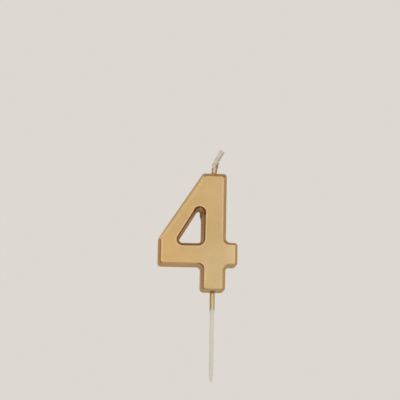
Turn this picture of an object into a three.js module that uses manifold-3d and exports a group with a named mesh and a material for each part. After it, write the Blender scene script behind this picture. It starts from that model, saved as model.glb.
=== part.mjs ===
import * as THREE from "three";
import { mergeVertices } from "three/addons/utils/BufferGeometryUtils.js";
import Module from "manifold-3d";

// A cake-top number candle, the numeral 4: a wax body with bevelled front edges, cast round
// a plaited cotton wick that stands out of the stem's top and a round plastic pick that
// stands out of its foot. Nothing on it moves.
// Millimetres, +Z up. The front faces -Y. The origin is where the pick leaves the foot.

const wasm = await Module();
wasm.setup();

// Numeral outline
const NUMERAL_HEIGHT = 36.5;
const STEM_WIDTH = 7.5;
const CROSSBAR_BOTTOM = 7.8;
const CROSSBAR_HEIGHT = 7.3;
const CROSSBAR_REACH = 13.2; // from the stem's left side to the numeral's left end
const ARM_REACH = 3.65; // from the stem's right side to the end of the short arm
const TOP_LENGTH = 7.3; // flat top, from the stem's right side to the diagonal
const DIAGONAL_ANGLE = 56.7;

// Numeral section, front to back
const THICKNESS = 7;
const BEVEL = 0.95; // width of the front bevel, and its depth everywhere
const END_BEVEL = 0.8; // the bevel is narrower round the arm, on the left end and underneath
const COUNTER_BEVEL = 0.85; // and nearly as narrow round the counter
const BACK_ROUND = 0.3; // rounded back edge, all round
const OUTER_DRAFT_ANGLE = 0.5;
const COUNTER_DRAFT_ANGLE = 2; // the counter's core leaves the mould more freely

// Counter, the three-cornered hole, measured where its walls meet the front bevel
const COUNTER_STEM_WALL = 7.25; // wax from the stem's right side to the hole
const COUNTER_SILL_DROP = 0.35; // the hole's level wall lies this far below the crossbar's top
const COUNTER_ANGLE = 58.7;
const DIAGONAL_STROKE = 5.02; // wax between the outer diagonal and the hole, at mid height

// Corner radii of the outline
const FOOT_CORNER = 1.2;
const UNDER_ARM_FILLET = 1.5;
const UNDER_BAR_FILLET = 1.2;
const ARM_LOWER_CORNER = 1.15;
const ARM_UPPER_CORNER = 1.0;
const ARM_TOP_FILLET = 1.6;
const TOP_CORNER = 1.05;
const SHOULDER_CORNER = 1.3;
const LEFT_UPPER_CORNER = 1.6;
const LEFT_LOWER_CORNER = 1.0;
const COUNTER_APEX_RADIUS = 0.98;
const COUNTER_LEFT_RADIUS = 1.0;
const COUNTER_RIGHT_RADIUS = 1.5;
const LEAST_RADIUS = 0.08;

// Wick
const WICK_DIAMETER = 1.7;
const WICK_LOBE_DEPTH = 0.1; // how far the plait's hollows lie under its crests
const WICK_LOBES = 3;
const WICK_PITCH = 4.2;
const WICK_IN_WAX = 21;
const WICK_END_ROUND = 0.25;
const WICK_LEAN = [
  // sideways lean and height of the free end's centreline above the numeral's top
  [0, 0.9],
  [0.3, 2.9],
  [0.56, 4.0],
  [1.43, 5.7],
  [2.42, 7.42],
];

// Pick
const PICK_DIAMETER = 1.32;
const PICK_LENGTH = 27.7; // from the foot to the tip
const PICK_TAPER = 2.8;
const PICK_TIP_DIAMETER = 0.5;
const PICK_IN_WAX = 11.5;
const RING_DIAMETER = 2.1; // barbed rings that key the pick into the wax
const RING_COUNT = 3;
const RING_SPACING = 3;
const RING_RAMP = 1.1;
const RING_SHELF = 0.25;
const FIRST_RING = 2.2; // above the foot
const SHANK_CHAMFER = 0.3;
const CROWN_WIDTH = 0.7; // the blunt end's crown, as shares of the tip's radius
const CROWN_HEIGHT = 0.3;

// Room between the cast-in pieces and the wax
const SEAT_CLEARANCE = 0.25;

// Smoothness
const CORNER_STEPS = 6;
const BACK_ROUND_STEPS = 3;
const ROUND_SIDES = 24;
const WICK_SIDES = 12;
const WICK_RING_SPACING = 0.6;
const MERGE_DISTANCE = 1e-5;
const CUT_OVERRUN = 1; // how far a cutting form runs out past the surface that it cuts

const FRONT = -THICKNESS / 2;
const BACK = THICKNESS / 2;
const WALL_DEPTH = THICKNESS - BEVEL - BACK_ROUND;
const STEM_RIGHT = STEM_WIDTH / 2;
const STEM_LEFT = -STEM_WIDTH / 2;
const CROSSBAR_TOP = CROSSBAR_BOTTOM + CROSSBAR_HEIGHT;

function slope(degrees) {
  return Math.tan(THREE.MathUtils.degToRad(degrees));
}

function corner(x, z, radius, bevel = BEVEL) {
  return { point: new THREE.Vector2(x, z), radius, bevel };
}

// The outline runs round the numeral with the wax on its left. A corner's bevel is that of
// the side which leaves it.
function numeralCorners() {
  const left = STEM_LEFT - CROSSBAR_REACH;
  const armEnd = STEM_RIGHT + ARM_REACH;
  const shoulder = STEM_RIGHT - TOP_LENGTH;
  const leftTop = NUMERAL_HEIGHT - (shoulder - left) * slope(DIAGONAL_ANGLE);
  return [
    corner(STEM_LEFT, 0, FOOT_CORNER, END_BEVEL),
    corner(STEM_RIGHT, 0, FOOT_CORNER),
    corner(STEM_RIGHT, CROSSBAR_BOTTOM, UNDER_ARM_FILLET, END_BEVEL),
    corner(armEnd, CROSSBAR_BOTTOM, ARM_LOWER_CORNER, END_BEVEL),
    corner(armEnd, CROSSBAR_TOP, ARM_UPPER_CORNER, END_BEVEL),
    corner(STEM_RIGHT, CROSSBAR_TOP, ARM_TOP_FILLET),
    corner(STEM_RIGHT, NUMERAL_HEIGHT, TOP_CORNER),
    corner(shoulder, NUMERAL_HEIGHT, SHOULDER_CORNER),
    corner(left, leftTop, LEFT_UPPER_CORNER, END_BEVEL),
    corner(left, CROSSBAR_BOTTOM, LEFT_LOWER_CORNER, END_BEVEL),
    corner(STEM_LEFT, CROSSBAR_BOTTOM, UNDER_BAR_FILLET),
  ];
}

// The counter's slanted wall lies a stroke's width inside the outer diagonal, measured
// square to it at the middle of the diagonal's height.
function counterCorners() {
  const right = STEM_RIGHT - COUNTER_STEM_WALL;
  const sill = CROSSBAR_TOP - COUNTER_SILL_DROP;
  const middle = (CROSSBAR_TOP + NUMERAL_HEIGHT) / 2;
  const outer = STEM_RIGHT - TOP_LENGTH - (NUMERAL_HEIGHT - middle) / slope(DIAGONAL_ANGLE);
  const inward = THREE.MathUtils.degToRad(DIAGONAL_ANGLE);
  const x = outer + DIAGONAL_STROKE * Math.sin(inward);
  const z = middle - DIAGONAL_STROKE * Math.cos(inward);
  const apex = z + (right - x) * slope(COUNTER_ANGLE);
  const leftEnd = x - (z - sill) / slope(COUNTER_ANGLE);
  return [
    corner(leftEnd, sill, COUNTER_LEFT_RADIUS, COUNTER_BEVEL),
    corner(right, apex, COUNTER_APEX_RADIUS, COUNTER_BEVEL),
    corner(right, sill, COUNTER_RIGHT_RADIUS, COUNTER_BEVEL),
  ];
}

function sideOf(corners, i) {
  const from = corners[i];
  const to = corners[(i + 1) % corners.length];
  const along = to.point.clone().sub(from.point).normalize();
  const inward = new THREE.Vector2(-along.y, along.x);
  return { from: from.point, along, inward, bevel: from.bevel };
}

function meet(a, startA, b, startB) {
  const across = a.along.cross(b.along);
  const between = startB.clone().sub(startA);
  return startA.clone().addScaledVector(a.along, between.cross(b.along) / across);
}

// One corner as an arc. A bulging corner gets tighter as the outline shrinks, and a hollow
// one gets wider.
function cornerArc(before, after, point, radius, inset) {
  const turn = Math.atan2(before.along.cross(after.along), before.along.dot(after.along));
  const bulges = turn > 0;
  const r = Math.max(LEAST_RADIUS, bulges ? radius - inset : radius + inset);
  const start = point.clone().addScaledVector(before.along, -r * Math.tan(Math.abs(turn) / 2));
  const centre = start.clone().addScaledVector(before.inward, bulges ? r : -r);
  const arm = start.clone().sub(centre);
  const points = [];
  for (let i = 0; i <= CORNER_STEPS; i++) {
    const swung = arm.clone().rotateAround(new THREE.Vector2(), (turn * i) / CORNER_STEPS);
    points.push(centre.clone().add(swung));
  }
  return points;
}

// The outline drawn in from the wall by draft, which is even, and by a share of each
// side's own bevel.
function outline(corners, draft, bevelShare) {
  const sides = corners.map((_, i) => sideOf(corners, i));
  const insets = sides.map((side) => draft + bevelShare * side.bevel);
  const starts = sides.map((side, i) => side.from.clone().addScaledVector(side.inward, insets[i]));
  const points = [];
  for (let i = 0; i < corners.length; i++) {
    const k = (i + corners.length - 1) % corners.length;
    const at = meet(sides[k], starts[k], sides[i], starts[i]);
    const inset = (insets[k] + insets[i]) / 2;
    points.push(...cornerArc(sides[k], sides[i], at, corners[i].radius, inset));
  }
  return points;
}

// Depths and insets of the sections, from the back face to the front face. draft is the
// angle by which the wall closes in towards the front.
function sections(corners, draftAngle) {
  const drawnIn = WALL_DEPTH * slope(draftAngle);
  const list = [];
  for (let i = 0; i <= BACK_ROUND_STEPS; i++) {
    const a = (Math.PI / 2) * (i / BACK_ROUND_STEPS);
    const inset = BACK_ROUND * (1 - Math.sin(a)) - drawnIn;
    list.push({ y: BACK - BACK_ROUND * (1 - Math.cos(a)), points: outline(corners, inset, 0) });
  }
  list.push({ y: FRONT + BEVEL, points: outline(corners, 0, 0) });
  list.push({ y: FRONT, points: outline(corners, 0, 1) });
  return list;
}

function addWalls(list, positions, index) {
  const base = positions.length / 3;
  const count = list[0].points.length;
  for (const { y, points } of list) {
    for (const p of points) positions.push(p.x, y, p.y);
  }
  for (let k = 0; k + 1 < list.length; k++) {
    for (let i = 0; i < count; i++) {
      const a = base + k * count + i;
      const b = base + k * count + ((i + 1) % count);
      index.push(a, b, b + count, a, b + count, a + count);
    }
  }
  return { first: base, last: base + (list.length - 1) * count, count };
}

function addFace(outer, hole, rings, facesFront, index) {
  const ids = [];
  for (const ring of rings) {
    for (let i = 0; i < ring.count; i++) ids.push((facesFront ? ring.last : ring.first) + i);
  }
  for (const [a, b, c] of THREE.ShapeUtils.triangulateShape(outer, [hole])) {
    index.push(ids[a], facesFront ? ids[b] : ids[c], facesFront ? ids[c] : ids[b]);
  }
}

function closedGeometry(positions, index) {
  const geometry = new THREE.BufferGeometry();
  geometry.setAttribute("position", new THREE.Float32BufferAttribute(positions, 3));
  geometry.setIndex(index);
  return geometry;
}

function castNumeral() {
  const outer = sections(numeralCorners(), OUTER_DRAFT_ANGLE);
  const counter = sections(counterCorners(), COUNTER_DRAFT_ANGLE);
  const positions = [];
  const index = [];
  const rings = [addWalls(outer, positions, index), addWalls(counter, positions, index)];
  addFace(outer.at(-1).points, counter.at(-1).points, rings, true, index);
  addFace(outer[0].points, counter[0].points, rings, false, index);
  return closedGeometry(positions, index);
}

function solid(geometry) {
  const plain = geometry.clone();
  plain.deleteAttribute("normal");
  plain.deleteAttribute("uv");
  const merged = mergeVertices(plain, MERGE_DISTANCE);
  const vertProperties = new Float32Array(merged.attributes.position.array);
  const triVerts = new Uint32Array(merged.index.array);
  return new wasm.Manifold(new wasm.Mesh({ numProp: 3, vertProperties, triVerts }));
}

function geometryOf(manifold) {
  const mesh = manifold.getMesh();
  const geometry = closedGeometry(mesh.vertProperties, Array.from(mesh.triVerts));
  geometry.computeVertexNormals();
  return geometry;
}

// A turned form about the Z axis, from [radius, height] pairs that start and end on it.
function turned(profile) {
  const points = profile.map(([r, z]) => new THREE.Vector2(r, z));
  return new THREE.LatheGeometry(points, ROUND_SIDES).rotateX(Math.PI / 2);
}

// The pick's outline from the tip upwards, all of it grown by room. The rings' ramps point
// up into the wax, so their shelves stop the pick from being drawn out.
function pickProfile(room) {
  const r = PICK_DIAMETER / 2 + room;
  const ring = RING_DIAMETER / 2 + room;
  const profile = [];
  for (let i = 0; i < RING_COUNT; i++) {
    const shelf = FIRST_RING + i * RING_SPACING - room;
    profile.push([r, shelf], [ring, shelf], [ring, shelf + RING_SHELF + 2 * room]);
    profile.push([r, shelf + RING_SHELF + RING_RAMP + 2 * room]);
  }
  const top = PICK_IN_WAX + room;
  profile.push([r, top - SHANK_CHAMFER], [r - SHANK_CHAMFER, top], [0, top]);
  return profile;
}

function pickGeometry() {
  const tip = PICK_TIP_DIAMETER / 2;
  const nose = [
    [0, -PICK_LENGTH],
    [tip * CROWN_WIDTH, -PICK_LENGTH + tip * CROWN_HEIGHT],
    [tip, -PICK_LENGTH + tip],
    [PICK_DIAMETER / 2, -PICK_LENGTH + PICK_TAPER],
  ];
  return turned([...nose, ...pickProfile(0)]);
}

// The wax round the pick keeps the pick's own form, a clearance larger.
function pickSocket() {
  const mouth = -CUT_OVERRUN;
  const r = PICK_DIAMETER / 2 + SEAT_CLEARANCE;
  return turned([[0, mouth], [r, mouth], ...pickProfile(SEAT_CLEARANCE)]);
}

function wickBore() {
  const r = WICK_DIAMETER / 2 + SEAT_CLEARANCE;
  const floor = NUMERAL_HEIGHT - WICK_IN_WAX - SEAT_CLEARANCE;
  const mouth = NUMERAL_HEIGHT + CUT_OVERRUN;
  return turned([[0, floor], [r, floor], [r, mouth], [0, mouth]]);
}

function wickPath() {
  const points = [[0, -WICK_IN_WAX], [0, -WICK_IN_WAX / 2], [0, 0], ...WICK_LEAN];
  const onAxis = points.map(([x, up]) => new THREE.Vector3(x, 0, NUMERAL_HEIGHT + up));
  return new THREE.CatmullRomCurve3(onAxis, false, "centripetal");
}

// The wick's section has a crest for each strand of the plait, and the crests wind round it.
function wickRadius(angle, along, length) {
  const crest = Math.cos(WICK_LOBES * (angle - (2 * Math.PI * along) / (WICK_LOBES * WICK_PITCH)));
  const full = (WICK_DIAMETER / 2) * (1 - (WICK_LOBE_DEPTH * (1 - crest)) / 2);
  const toEnd = Math.min(along, length - along);
  return toEnd < WICK_END_ROUND ? full - (WICK_END_ROUND - toEnd) : full;
}

function wickGeometry() {
  const path = wickPath();
  const length = path.getLength();
  const steps = Math.round(length / WICK_RING_SPACING);
  const stations = [0, WICK_END_ROUND];
  for (let i = 1; i < steps; i++) stations.push((length * i) / steps);
  stations.push(length - WICK_END_ROUND, length);
  const positions = [];
  const index = [];
  const across = new THREE.Vector3(0, 1, 0);
  for (const along of stations) {
    const centre = path.getPointAt(along / length);
    const sideways = across.clone().cross(path.getTangentAt(along / length));
    for (let i = 0; i < WICK_SIDES; i++) {
      const angle = (2 * Math.PI * i) / WICK_SIDES;
      const r = wickRadius(angle, along, length);
      const p = centre.clone().addScaledVector(sideways, r * Math.cos(angle));
      p.addScaledVector(across, r * Math.sin(angle));
      positions.push(p.x, p.y, p.z);
    }
  }
  for (let k = 0; k + 1 < stations.length; k++) {
    for (let i = 0; i < WICK_SIDES; i++) {
      const a = k * WICK_SIDES + i;
      const b = k * WICK_SIDES + ((i + 1) % WICK_SIDES);
      index.push(a, b, b + WICK_SIDES, a, b + WICK_SIDES, a + WICK_SIDES);
    }
  }
  const last = (stations.length - 1) * WICK_SIDES;
  for (let i = 1; i + 1 < WICK_SIDES; i++) {
    index.push(0, i + 1, i, last, last + i, last + i + 1);
  }
  return closedGeometry(positions, index);
}

function numeralGeometry() {
  const cast = solid(castNumeral());
  const pierced = cast.subtract(solid(wickBore())).subtract(solid(pickSocket()));
  return geometryOf(pierced);
}

function piece(name, geometry, colour, roughness, metalness) {
  const material = new THREE.MeshStandardMaterial({ color: colour, roughness, metalness });
  const mesh = new THREE.Mesh(geometry, material);
  mesh.name = name;
  return mesh;
}

const candle = new THREE.Group();
candle.add(piece("number_body", numeralGeometry(), 0xcfae7c, 0.42, 0.8));
candle.add(piece("wick", wickGeometry(), 0xc7c1b1, 0.6, 0));
candle.add(piece("pick", pickGeometry(), 0xd2cec3, 0.45, 0));

export default candle;
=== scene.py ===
# %% [markdown]
# # A gold number candle
# This candle for the top of a cake has three pieces. A numeral is cast in paraffin wax round a
# plaited cotton wick and a plastic pick. It is then sprayed with gold lacquer, which also runs a
# little way along both.
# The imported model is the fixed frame. It says where each piece sits and how large it is. Each
# piece made below takes its place from there and brings what the plain solids lack: the softened
# edges of cast wax, the strands of the wick, and the finish of every surface.

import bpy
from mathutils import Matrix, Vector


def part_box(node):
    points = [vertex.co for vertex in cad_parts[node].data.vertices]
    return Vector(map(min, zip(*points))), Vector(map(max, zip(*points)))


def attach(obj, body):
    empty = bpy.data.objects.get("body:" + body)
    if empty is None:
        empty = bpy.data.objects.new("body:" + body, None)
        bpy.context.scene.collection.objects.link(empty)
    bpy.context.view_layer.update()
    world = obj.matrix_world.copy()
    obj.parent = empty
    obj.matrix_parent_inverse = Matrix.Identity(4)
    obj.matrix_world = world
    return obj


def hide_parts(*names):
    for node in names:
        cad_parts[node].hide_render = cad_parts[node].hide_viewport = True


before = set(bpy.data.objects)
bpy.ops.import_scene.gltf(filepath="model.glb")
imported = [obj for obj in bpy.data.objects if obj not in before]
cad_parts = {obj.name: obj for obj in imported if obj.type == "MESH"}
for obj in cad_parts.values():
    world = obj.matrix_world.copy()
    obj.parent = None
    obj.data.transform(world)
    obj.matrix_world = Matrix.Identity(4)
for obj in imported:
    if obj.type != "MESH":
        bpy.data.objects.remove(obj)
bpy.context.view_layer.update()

# %% Tools and units
import cmath
import functools
import math

import bmesh
import bpy
import numpy as np
from mathutils import Quaternion, Vector, geometry

MM = 0.001


def size_of(node):
    """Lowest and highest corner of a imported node, in millimetres."""
    low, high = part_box(node)
    return low / MM, high / MM


NUMERAL_LOW, NUMERAL_HIGH = size_of("number_body")
WICK_LOW, WICK_HIGH = size_of("wick")
PICK_LOW, PICK_HIGH = size_of("pick")
print("numeral, in millimetres:", tuple(NUMERAL_LOW), tuple(NUMERAL_HIGH))

# %% [markdown]
# ## Camera
# The photograph looks at the bevelled front from a little to the left and from a little below,
# so thin slices of the left walls and of the undersides show. A long lens keeps the numeral's
# upright sides almost parallel. The picture also leans by one degree. The camera's place is in
# the candle's own frame, in millimetres, so it can be read against the model.

# %% Camera
EYE = Vector((-35.76, -503.5, -40.0))
AIM = Vector((-4.5, -3.5, 28.04))
PICTURE_LEAN = math.radians(1.0)
FOCAL_LENGTH = 147.6


def add_camera():
    data = bpy.data.cameras.new("camera")
    data.lens = FOCAL_LENGTH
    data.clip_start = 0.01
    camera = bpy.data.objects.new("camera", data)
    camera.location = EYE * MM
    camera.rotation_mode = "QUATERNION"
    towards = (AIM - EYE).to_track_quat("-Z", "Y")
    camera.rotation_quaternion = towards @ Quaternion((0, 0, 1), PICTURE_LEAN)
    bpy.context.scene.collection.objects.link(camera)
    bpy.context.scene.camera = camera
    return camera


camera = add_camera()
bpy.context.scene.view_settings.view_transform = "Standard"
print("camera:", round((AIM - EYE).length), "mm from the candle, lens", FOCAL_LENGTH, "mm")

# %% [markdown]
# ## Node trees in a few words
# Materials, shared effects and Geometry Nodes are all trees of nodes. A few small helpers keep
# them short: one adds a node and fills its inputs, with a number or with another node's output,
# and the others do arithmetic on outputs and mix colours.

# %% Helpers for node trees
def add(tree, kind, inputs=(), **settings):
    """Adds a node, sets its properties, and links or sets each input that is given."""
    made = tree.nodes.new(kind)
    for name, value in settings.items():
        setattr(made, name, value)
    for key, value in dict(inputs).items():
        socket = made.inputs[key]
        if isinstance(value, bpy.types.NodeSocket):
            tree.links.new(value, socket)
        else:
            socket.default_value = value
    return made


def maths(tree, operation, *values, clamp=False):
    """The output of one sum, product or other operation."""
    made = add(tree, "ShaderNodeMath", enumerate(values), operation=operation, use_clamp=clamp)
    return made.outputs[0]


def product(tree, value, *factors):
    for factor in factors:
        value = maths(tree, "MULTIPLY", value, factor)
    return value


def vector_maths(tree, operation, *values):
    """The same for vectors as maths above. A length or distance comes out as a number."""
    made = add(tree, "ShaderNodeVectorMath", enumerate(values), operation=operation)
    return made.outputs["Value" if operation in ("LENGTH", "DISTANCE") else "Vector"]


def between(tree, value, low, high, smooth=True):
    """0 below low, 1 above high, and a soft step from one to the other. high may be the lower."""
    kind = "SMOOTHSTEP" if smooth else "LINEAR"
    inputs = {"Value": value, "From Min": low, "From Max": high}
    return add(tree, "ShaderNodeMapRange", inputs, interpolation_type=kind).outputs["Result"]


def mix_colour(tree, share, first, second):
    """The first colour where the share is 0, and the second where it is 1."""
    return add(tree, "ShaderNodeMix", {0: share, 6: first, 7: second}, data_type="RGBA").outputs[2]


print("helpers ready: add, maths, product, vector_maths, between, mix_colour")


# %% Helpers for colours and materials
def srgb(red, green, blue):
    """A colour as a screen shows it, from 0 to 255, as the linear colour that shaders take."""
    shares = [c / 255 for c in (red, green, blue)]
    linear = [c / 12.92 if c <= 0.04045 else ((c + 0.055) / 1.055) ** 2.4 for c in shares]
    return (*linear, 1.0)


def new_material(name):
    """A material with its tree, its Principled shader and the object's own coordinates."""
    material = bpy.data.materials.new(name)
    material.use_nodes = True
    tree = material.node_tree
    place = add(tree, "ShaderNodeTexCoord").outputs["Object"]
    return material, tree, tree.nodes["Principled BSDF"], place


print("a middle grey of the screen, as shaders take it:", round(srgb(128, 128, 128)[0], 3))

# %% [markdown]
# ## Studio
# The candle has no foot of its own: a cake holds it by its pick. So it hangs in a plain pale
# studio, over a floor that catches its soft shadow. The backdrop is the world's colour. It is
# shown to the camera, and to gloss, which has to mirror something pale, while the walls of the
# room light the candle a little less, so that its forms stay readable. A photographer's paper
# sweeps up behind the set without an edge. Here the floor's far part fades to the same colour
# instead, for the camera and for gloss alone, so that it adds no light.

# %% Floor and backdrop
PALE = srgb(221, 216, 210)
ROOM_LEVEL = 0.62
PAPER = srgb(240, 238, 234)
FLOOR_HEIGHT = -41.0
FLOOR_REACH = 3000.0
FLOOR_SIDES = 96
FADE_START = 220.0
FADE_END = 480.0


def pale_rays(tree):
    """1 on the rays that should see the pale backdrop: those of the camera, gloss and glass."""
    rays = tree.nodes.new("ShaderNodeLightPath").outputs
    seen = maths(tree, "MAXIMUM", rays["Is Camera Ray"], rays["Is Glossy Ray"])
    return maths(tree, "MAXIMUM", seen, rays["Is Transmission Ray"])


def floor_paper():
    """Paper that fades to the backdrop's colour in the distance."""
    material, tree, shader, place = new_material("floor_paper")
    shader.inputs["Base Color"].default_value = PAPER
    shader.inputs["Roughness"].default_value = 0.9
    shader.inputs["Specular IOR Level"].default_value = 0.1
    far = vector_maths(tree, "LENGTH", place)
    fade = product(tree, between(tree, far, FADE_START * MM, FADE_END * MM), pale_rays(tree))
    backdrop = add(tree, "ShaderNodeEmission", {"Color": PALE}).outputs[0]
    both = add(tree, "ShaderNodeMixShader", {0: fade, 1: shader.outputs[0], 2: backdrop}).outputs[0]
    tree.links.new(both, tree.nodes["Material Output"].inputs["Surface"])
    return material


def add_floor():
    mesh = bpy.data.meshes.new("floor")
    made = bmesh.new()
    bmesh.ops.create_circle(made, cap_ends=True, segments=FLOOR_SIDES, radius=FLOOR_REACH * MM)
    bmesh.ops.translate(made, verts=made.verts, vec=(0, 0, FLOOR_HEIGHT * MM))
    made.to_mesh(mesh)
    made.free()
    mesh.materials.append(floor_paper())
    floor = bpy.data.objects.new("floor", mesh)
    bpy.context.scene.collection.objects.link(floor)


def set_world():
    world = bpy.data.worlds.new("studio")
    world.use_nodes = True
    tree = world.node_tree
    room = (ROOM_LEVEL, ROOM_LEVEL, ROOM_LEVEL, 1.0)
    tree.links.new(mix_colour(tree, pale_rays(tree), room, PALE), tree.nodes["Background"].inputs["Color"])
    bpy.context.scene.world = world


add_floor()
set_world()
print("floor at", FLOOR_HEIGHT, "mm, room level", ROOM_LEVEL)

# %% Lamps
LAMPS = {
    # place and size in millimetres, and brightness, where 1 is a white card in the light
    "key": ((90, -760, 170), 620, 1.0),
    "upper_left": ((-560, 20, 420), 300, 1.6),
    "right_fill": ((640, -200, 200), 420, 0.5),
    "back": ((120, 700, 240), 520, 0.7),
}
CANDLE_MIDDLE = Vector((-4.0, 0.0, 15.0))


def add_lamp(name, place, size, brightness):
    data = bpy.data.lights.new(name, "AREA")
    data.size = size * MM
    data.energy = brightness * math.pi * data.size**2
    lamp = bpy.data.objects.new(name, data)
    lamp.location = Vector(place) * MM
    lamp.rotation_mode = "QUATERNION"
    lamp.rotation_quaternion = (CANDLE_MIDDLE - Vector(place)).to_track_quat("-Z", "Y")
    lamp.visible_camera = False
    bpy.context.scene.collection.objects.link(lamp)
    print("lamp:", name, round(data.energy, 2), "W")


for name, (place, size, brightness) in LAMPS.items():
    add_lamp(name, place, size, brightness)

# %% [markdown]
# ## The numeral's outline
# The figure is drawn with straight sides and round corners, like the core of its mould. Each
# corner has a place, a radius, the width of the front bevel on the side that leaves it, how much
# lacquer gathers in it, with painted shade, and how thin the coat is on that side, which is mostly
# painted shade by the way the side faces. Points of the plane are complex numbers here: a side's
# direction turned a quarter turn to the left is simply that number times 1j, which keeps the geometry
# short.
# The stem, the crossbar and the radii are those of the imported solid. Its outer sizes come from
# the frame.

# %% Sizes of the numeral
BEVEL = 0.95
END_BEVEL = 0.8
BACK_ROUND = 0.3
OUTER_DRAFT = math.tan(math.radians(0.5))
COUNTER_DRAFT = math.tan(math.radians(2))

FRONT = NUMERAL_LOW.y
BACK = NUMERAL_HIGH.y
THICKNESS = BACK - FRONT
WALL_DEPTH = THICKNESS - BEVEL - BACK_ROUND
GROWTH = WALL_DEPTH * OUTER_DRAFT  # the outer walls spread this far towards the back
HEIGHT = NUMERAL_HIGH.z - GROWTH
LEFT_END = NUMERAL_LOW.x + GROWTH
ARM_END = NUMERAL_HIGH.x - GROWTH

STEM_RIGHT = 3.75
STEM_LEFT = -3.75
CROSSBAR_BOTTOM = 7.8
CROSSBAR_TOP = 15.1
TOP_LENGTH = 7.3
SHOULDER = STEM_RIGHT - TOP_LENGTH
DIAGONAL_SLOPE = math.tan(math.radians(56.7))

COUNTER_STEM_WALL = 7.25  # wax from the stem's right side to the counter
SILL_DROP = 0.35  # the counter's level wall lies this far below the crossbar's top
COUNTER_RIGHT = STEM_RIGHT - COUNTER_STEM_WALL
COUNTER_SILL = CROSSBAR_TOP - SILL_DROP
COUNTER_SLOPE = math.tan(math.radians(58.7))
DIAGONAL_STROKE = 5.02  # wax between the outer diagonal and the counter, at mid height
COUNTER_BEVEL = 0.85
LEAST_RADIUS = 0.08
print("numeral height", round(HEIGHT, 2), "mm, thickness", round(BACK - FRONT, 2), "mm")


# %% Corners of the numeral and of its counter
FOOT_SIDE = 0  # the sides that leave these corners of the list are the stem's two flat ends
TOP_SIDE = 6


class Corner:
    """A corner of an outline, and the bevel, the coat and the painted shade of the side that leaves it."""

    def __init__(self, x, z, radius, bevel=BEVEL, pool=0.0, thin_and_shade=1.0):
        self.at = complex(x, z)
        self.radius = radius
        self.bevel = bevel
        self.pool = pool
        self.thin_and_shade = thin_and_shade


def numeral_corners():
    left_top = HEIGHT - (SHOULDER - LEFT_END) * DIAGONAL_SLOPE
    # The last value of each corner, how thin the coat is on its side, is mostly painted shade by the way
    # that side faces: darkest on the left sides and the top, none underneath and on the diagonal, which
    # faces the light. The pool value is gathered lacquer with painted shade in the corner.
    return [
        Corner(STEM_LEFT, 0, 1.2, END_BEVEL, pool=0.75, thin_and_shade=0.0),
        Corner(STEM_RIGHT, 0, 1.2, pool=0.2, thin_and_shade=0.6),
        Corner(STEM_RIGHT, CROSSBAR_BOTTOM, 1.5, END_BEVEL, pool=0.3, thin_and_shade=0.0),
        Corner(ARM_END, CROSSBAR_BOTTOM, 1.15, END_BEVEL, pool=0.1, thin_and_shade=0.8),
        Corner(ARM_END, CROSSBAR_TOP, 1.0, END_BEVEL, pool=0.2, thin_and_shade=0.8),
        Corner(STEM_RIGHT, CROSSBAR_TOP, 1.6, pool=0.8, thin_and_shade=0.5),
        Corner(STEM_RIGHT, HEIGHT, 1.05, pool=1.2, thin_and_shade=1.0),
        Corner(SHOULDER, HEIGHT, 1.3, pool=0.65, thin_and_shade=0.0),
        Corner(LEFT_END, left_top, 1.6, END_BEVEL, pool=0.4, thin_and_shade=1.3),
        Corner(LEFT_END, CROSSBAR_BOTTOM, 1.0, END_BEVEL, pool=1.0, thin_and_shade=0.0),
        Corner(STEM_LEFT, CROSSBAR_BOTTOM, 1.2, pool=1.0, thin_and_shade=1.3),
    ]


def counter_corners():
    """The counter's slanted wall lies a stroke's width inside the outer diagonal."""
    middle = (CROSSBAR_TOP + HEIGHT) / 2
    outer = complex(SHOULDER - (HEIGHT - middle) / DIAGONAL_SLOPE, middle)
    square_in = cmath.exp(1j * (math.atan(DIAGONAL_SLOPE) - math.pi / 2))
    inner = outer + DIAGONAL_STROKE * square_in
    apex = inner.imag + (COUNTER_RIGHT - inner.real) * COUNTER_SLOPE
    left = inner.real - (inner.imag - COUNTER_SILL) / COUNTER_SLOPE
    # Round the counter too, the coat's thinness and pool values carry painted shade.
    return [
        Corner(left, COUNTER_SILL, 1.0, COUNTER_BEVEL, pool=0.3, thin_and_shade=0.95),
        Corner(COUNTER_RIGHT, apex, 0.98, COUNTER_BEVEL, pool=1.0),
        Corner(COUNTER_RIGHT, COUNTER_SILL, 1.5, COUNTER_BEVEL, pool=0.3, thin_and_shade=0.84),
    ]


print("corners:", len(numeral_corners()), "outside,", len(counter_corners()), "round the counter")

# %% Round the corners
ARC_STEPS = 12  # in a quarter turn
SIDE_STEP = 0.4


def cross(a, b):
    return (a.conjugate() * b).imag


def arc_between(before, after, at, radius):
    """Points of the arc that rounds the corner at, between sides with these directions."""
    turn = cmath.phase(after / before)
    steps = max(3, round(ARC_STEPS * abs(turn) / (math.pi / 2)))
    start = at - before * radius * math.tan(abs(turn) / 2)
    centre = start + before * radius * (1j if turn > 0 else -1j)
    return [centre + (start - centre) * cmath.exp(1j * turn * k / steps) for k in range(steps + 1)]


def side_steps(corners, i):
    length = abs(corners[(i + 1) % len(corners)].at - corners[i].at)
    return max(2, round(length / SIDE_STEP))


def corner_arcs(corners, draft, share):
    """One arc for each corner, with every side drawn in by draft and by a share of its bevel."""
    sides = [corners[(i + 1) % len(corners)].at - c.at for i, c in enumerate(corners)]
    sides = [side / abs(side) for side in sides]
    insets = [draft + share * c.bevel for c in corners]
    arcs = []
    for i, c in enumerate(corners):
        before, after = sides[i - 1], sides[i]
        start = corners[i - 1].at + 1j * before * insets[i - 1]
        other = c.at + 1j * after * insets[i]
        at = start + before * cross(other - start, after) / cross(before, after)
        inset = (insets[i - 1] + insets[i]) / 2
        radius = c.radius - inset if cross(before, after) > 0 else c.radius + inset
        arcs.append(arc_between(before, after, at, max(LEAST_RADIUS, radius)))
    return arcs


print("points in each corner's arc:", [len(arc) for arc in corner_arcs(numeral_corners(), 0, 0)])


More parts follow.
